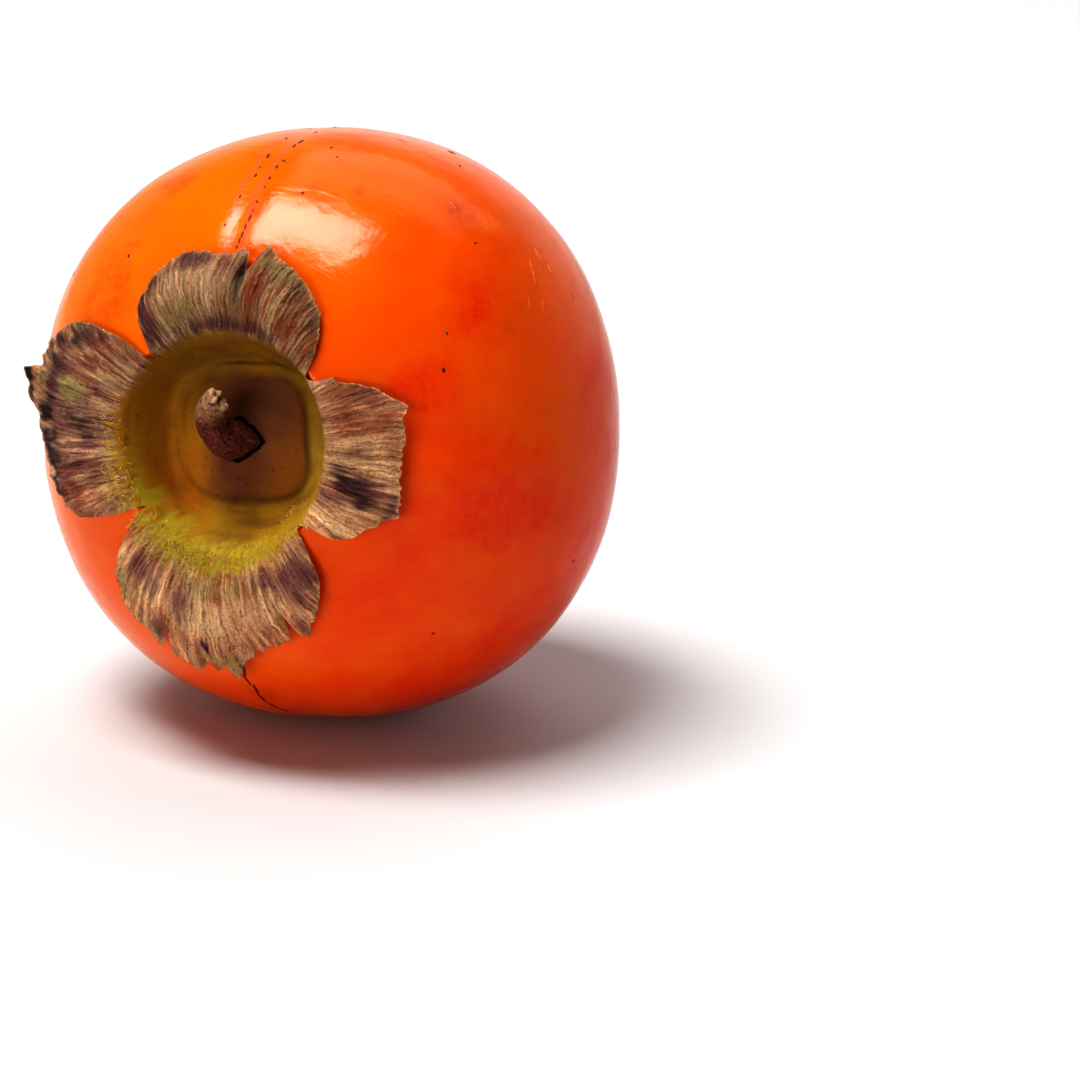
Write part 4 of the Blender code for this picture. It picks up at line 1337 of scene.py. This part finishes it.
def room_world(stage):
    """A room with pale walls, a bright wall behind the fruit and a dim ceiling, which the camera sees as white."""
    world = bpy.data.worlds.new("studio_room")
    world.use_nodes = True
    tree = world.node_tree
    direction = add_node(tree, "ShaderNodeTexCoord", {}, "Generated")
    height = add_node(tree, SPLIT, {0: direction}, "Z")
    behind = direction_to(stage.backdrop_azimuth, 0)
    facing = add_node(tree, VECTOR_MATH, {0: direction, 1: behind}, "Value", **DOT)
    wall = add_node(tree, RANGE, {0: facing, 1: 0.35, 2: 0.92, 3: stage.walls, 4: stage.backdrop}, **SOFT)
    room = add_node(tree, RANGE, {0: height, 1: 0.3, 2: 0.75, 3: wall, 4: stage.ceiling}, **SOFT)
    seen = add_node(tree, "ShaderNodeLightPath", {}, "Is Camera Ray")
    strength = add_node(tree, BLEND, {0: seen, 2: room, 3: 1.0})
    fill_inputs(tree, tree.nodes["Background"], {"Color": (1, 1, 1), "Strength": strength})
    return world


class PERSIMMON_OT_stage(bpy.types.Operator):
    """Build the floor, the camera, the three softboxes and the pale room"""

    bl_idname = "persimmon.stage"
    bl_label = "Stage"

    def execute(self, context):
        stage = context.scene.persimmon_stage
        centre = laid_down().translation
        builder = bmesh.new()
        bmesh.ops.create_circle(builder, cap_ends=True, segments=TABLE_SIDES, radius=stage.floor_radius)
        mesh = bpy.data.meshes.new("floor")
        builder.to_mesh(mesh)
        builder.free()
        mesh.materials.append(floor_material())
        floor = bpy.data.objects.new("floor", mesh)
        context.scene.collection.objects.link(floor)

        back = direction_to(stage.camera_azimuth, stage.camera_elevation)
        right = Vector((math.cos(stage.camera_azimuth), math.sin(stage.camera_azimuth), 0))
        above = back.cross(right)
        data = bpy.data.cameras.new("camera")
        data.lens = stage.lens
        data.sensor_width = SENSOR_WIDTH
        data.clip_start, data.clip_end = CAMERA_SEES
        camera = bpy.data.objects.new("camera", data)
        camera.location = centre + back * stage.camera_distance
        spread = stage.camera_distance * data.sensor_width / data.lens
        aim = centre + right * stage.berry_left * spread - above * stage.berry_up * spread
        camera.rotation_euler = (aim - camera.location).to_track_quat("-Z", "Y").to_euler()
        context.scene.collection.objects.link(camera)
        context.scene.camera = camera

        add_softbox(stage, "key", centre, Vector((math.cos(stage.key_roll), math.sin(stage.key_roll), 0)))
        add_softbox(stage, "top", centre)
        add_softbox(stage, "fill", centre)
        context.scene.world = room_world(stage)
        context.scene.view_settings.view_transform = "Standard"
        context.scene.view_settings.look = "Very High Contrast"
        return {"FINISHED"}


class PERSIMMON_PT_panel(bpy.types.Panel):
    """Lists the steps that build the persimmon"""

    bl_idname = "PERSIMMON_PT_panel"
    bl_label = "Persimmon"
    bl_space_type = "VIEW_3D"
    bl_region_type = "UI"
    bl_category = "Persimmon"

    def draw(self, context):
        for step in STEPS:
            self.layout.operator(step.bl_idname)


SETTINGS = {
    "persimmon_berry": PersimmonBerrySettings,
    "persimmon_calyx": PersimmonCalyxSettings,
    "persimmon_stalk": PersimmonStalkSettings,
    "persimmon_stage": PersimmonStageSettings,
}
STEPS = (
    PERSIMMON_OT_berry,
    PERSIMMON_OT_scars,
    PERSIMMON_OT_calyx,
    PERSIMMON_OT_fuzz,
    PERSIMMON_OT_stalk,
    PERSIMMON_OT_style_tip,
    PERSIMMON_OT_stage,
)


def register():
    for name, settings in SETTINGS.items():
        bpy.utils.register_class(settings)
        setattr(bpy.types.Scene, name, PointerProperty(type=settings))
    for step in STEPS:
        bpy.utils.register_class(step)
    bpy.utils.register_class(PERSIMMON_PT_panel)


def unregister():
    bpy.utils.unregister_class(PERSIMMON_PT_panel)
    for step in reversed(STEPS):
        bpy.utils.unregister_class(step)
    for name, settings in SETTINGS.items():
        delattr(bpy.types.Scene, name)
        bpy.utils.unregister_class(settings)


def main():
    register()
    bpy.ops.persimmon.berry()
    bpy.ops.persimmon.scars()
    bpy.ops.persimmon.calyx()
    bpy.ops.persimmon.fuzz()
    bpy.ops.persimmon.stalk()
    bpy.ops.persimmon.style_tip()
    bpy.ops.persimmon.stage()


if __name__ == "__main__":
    main()
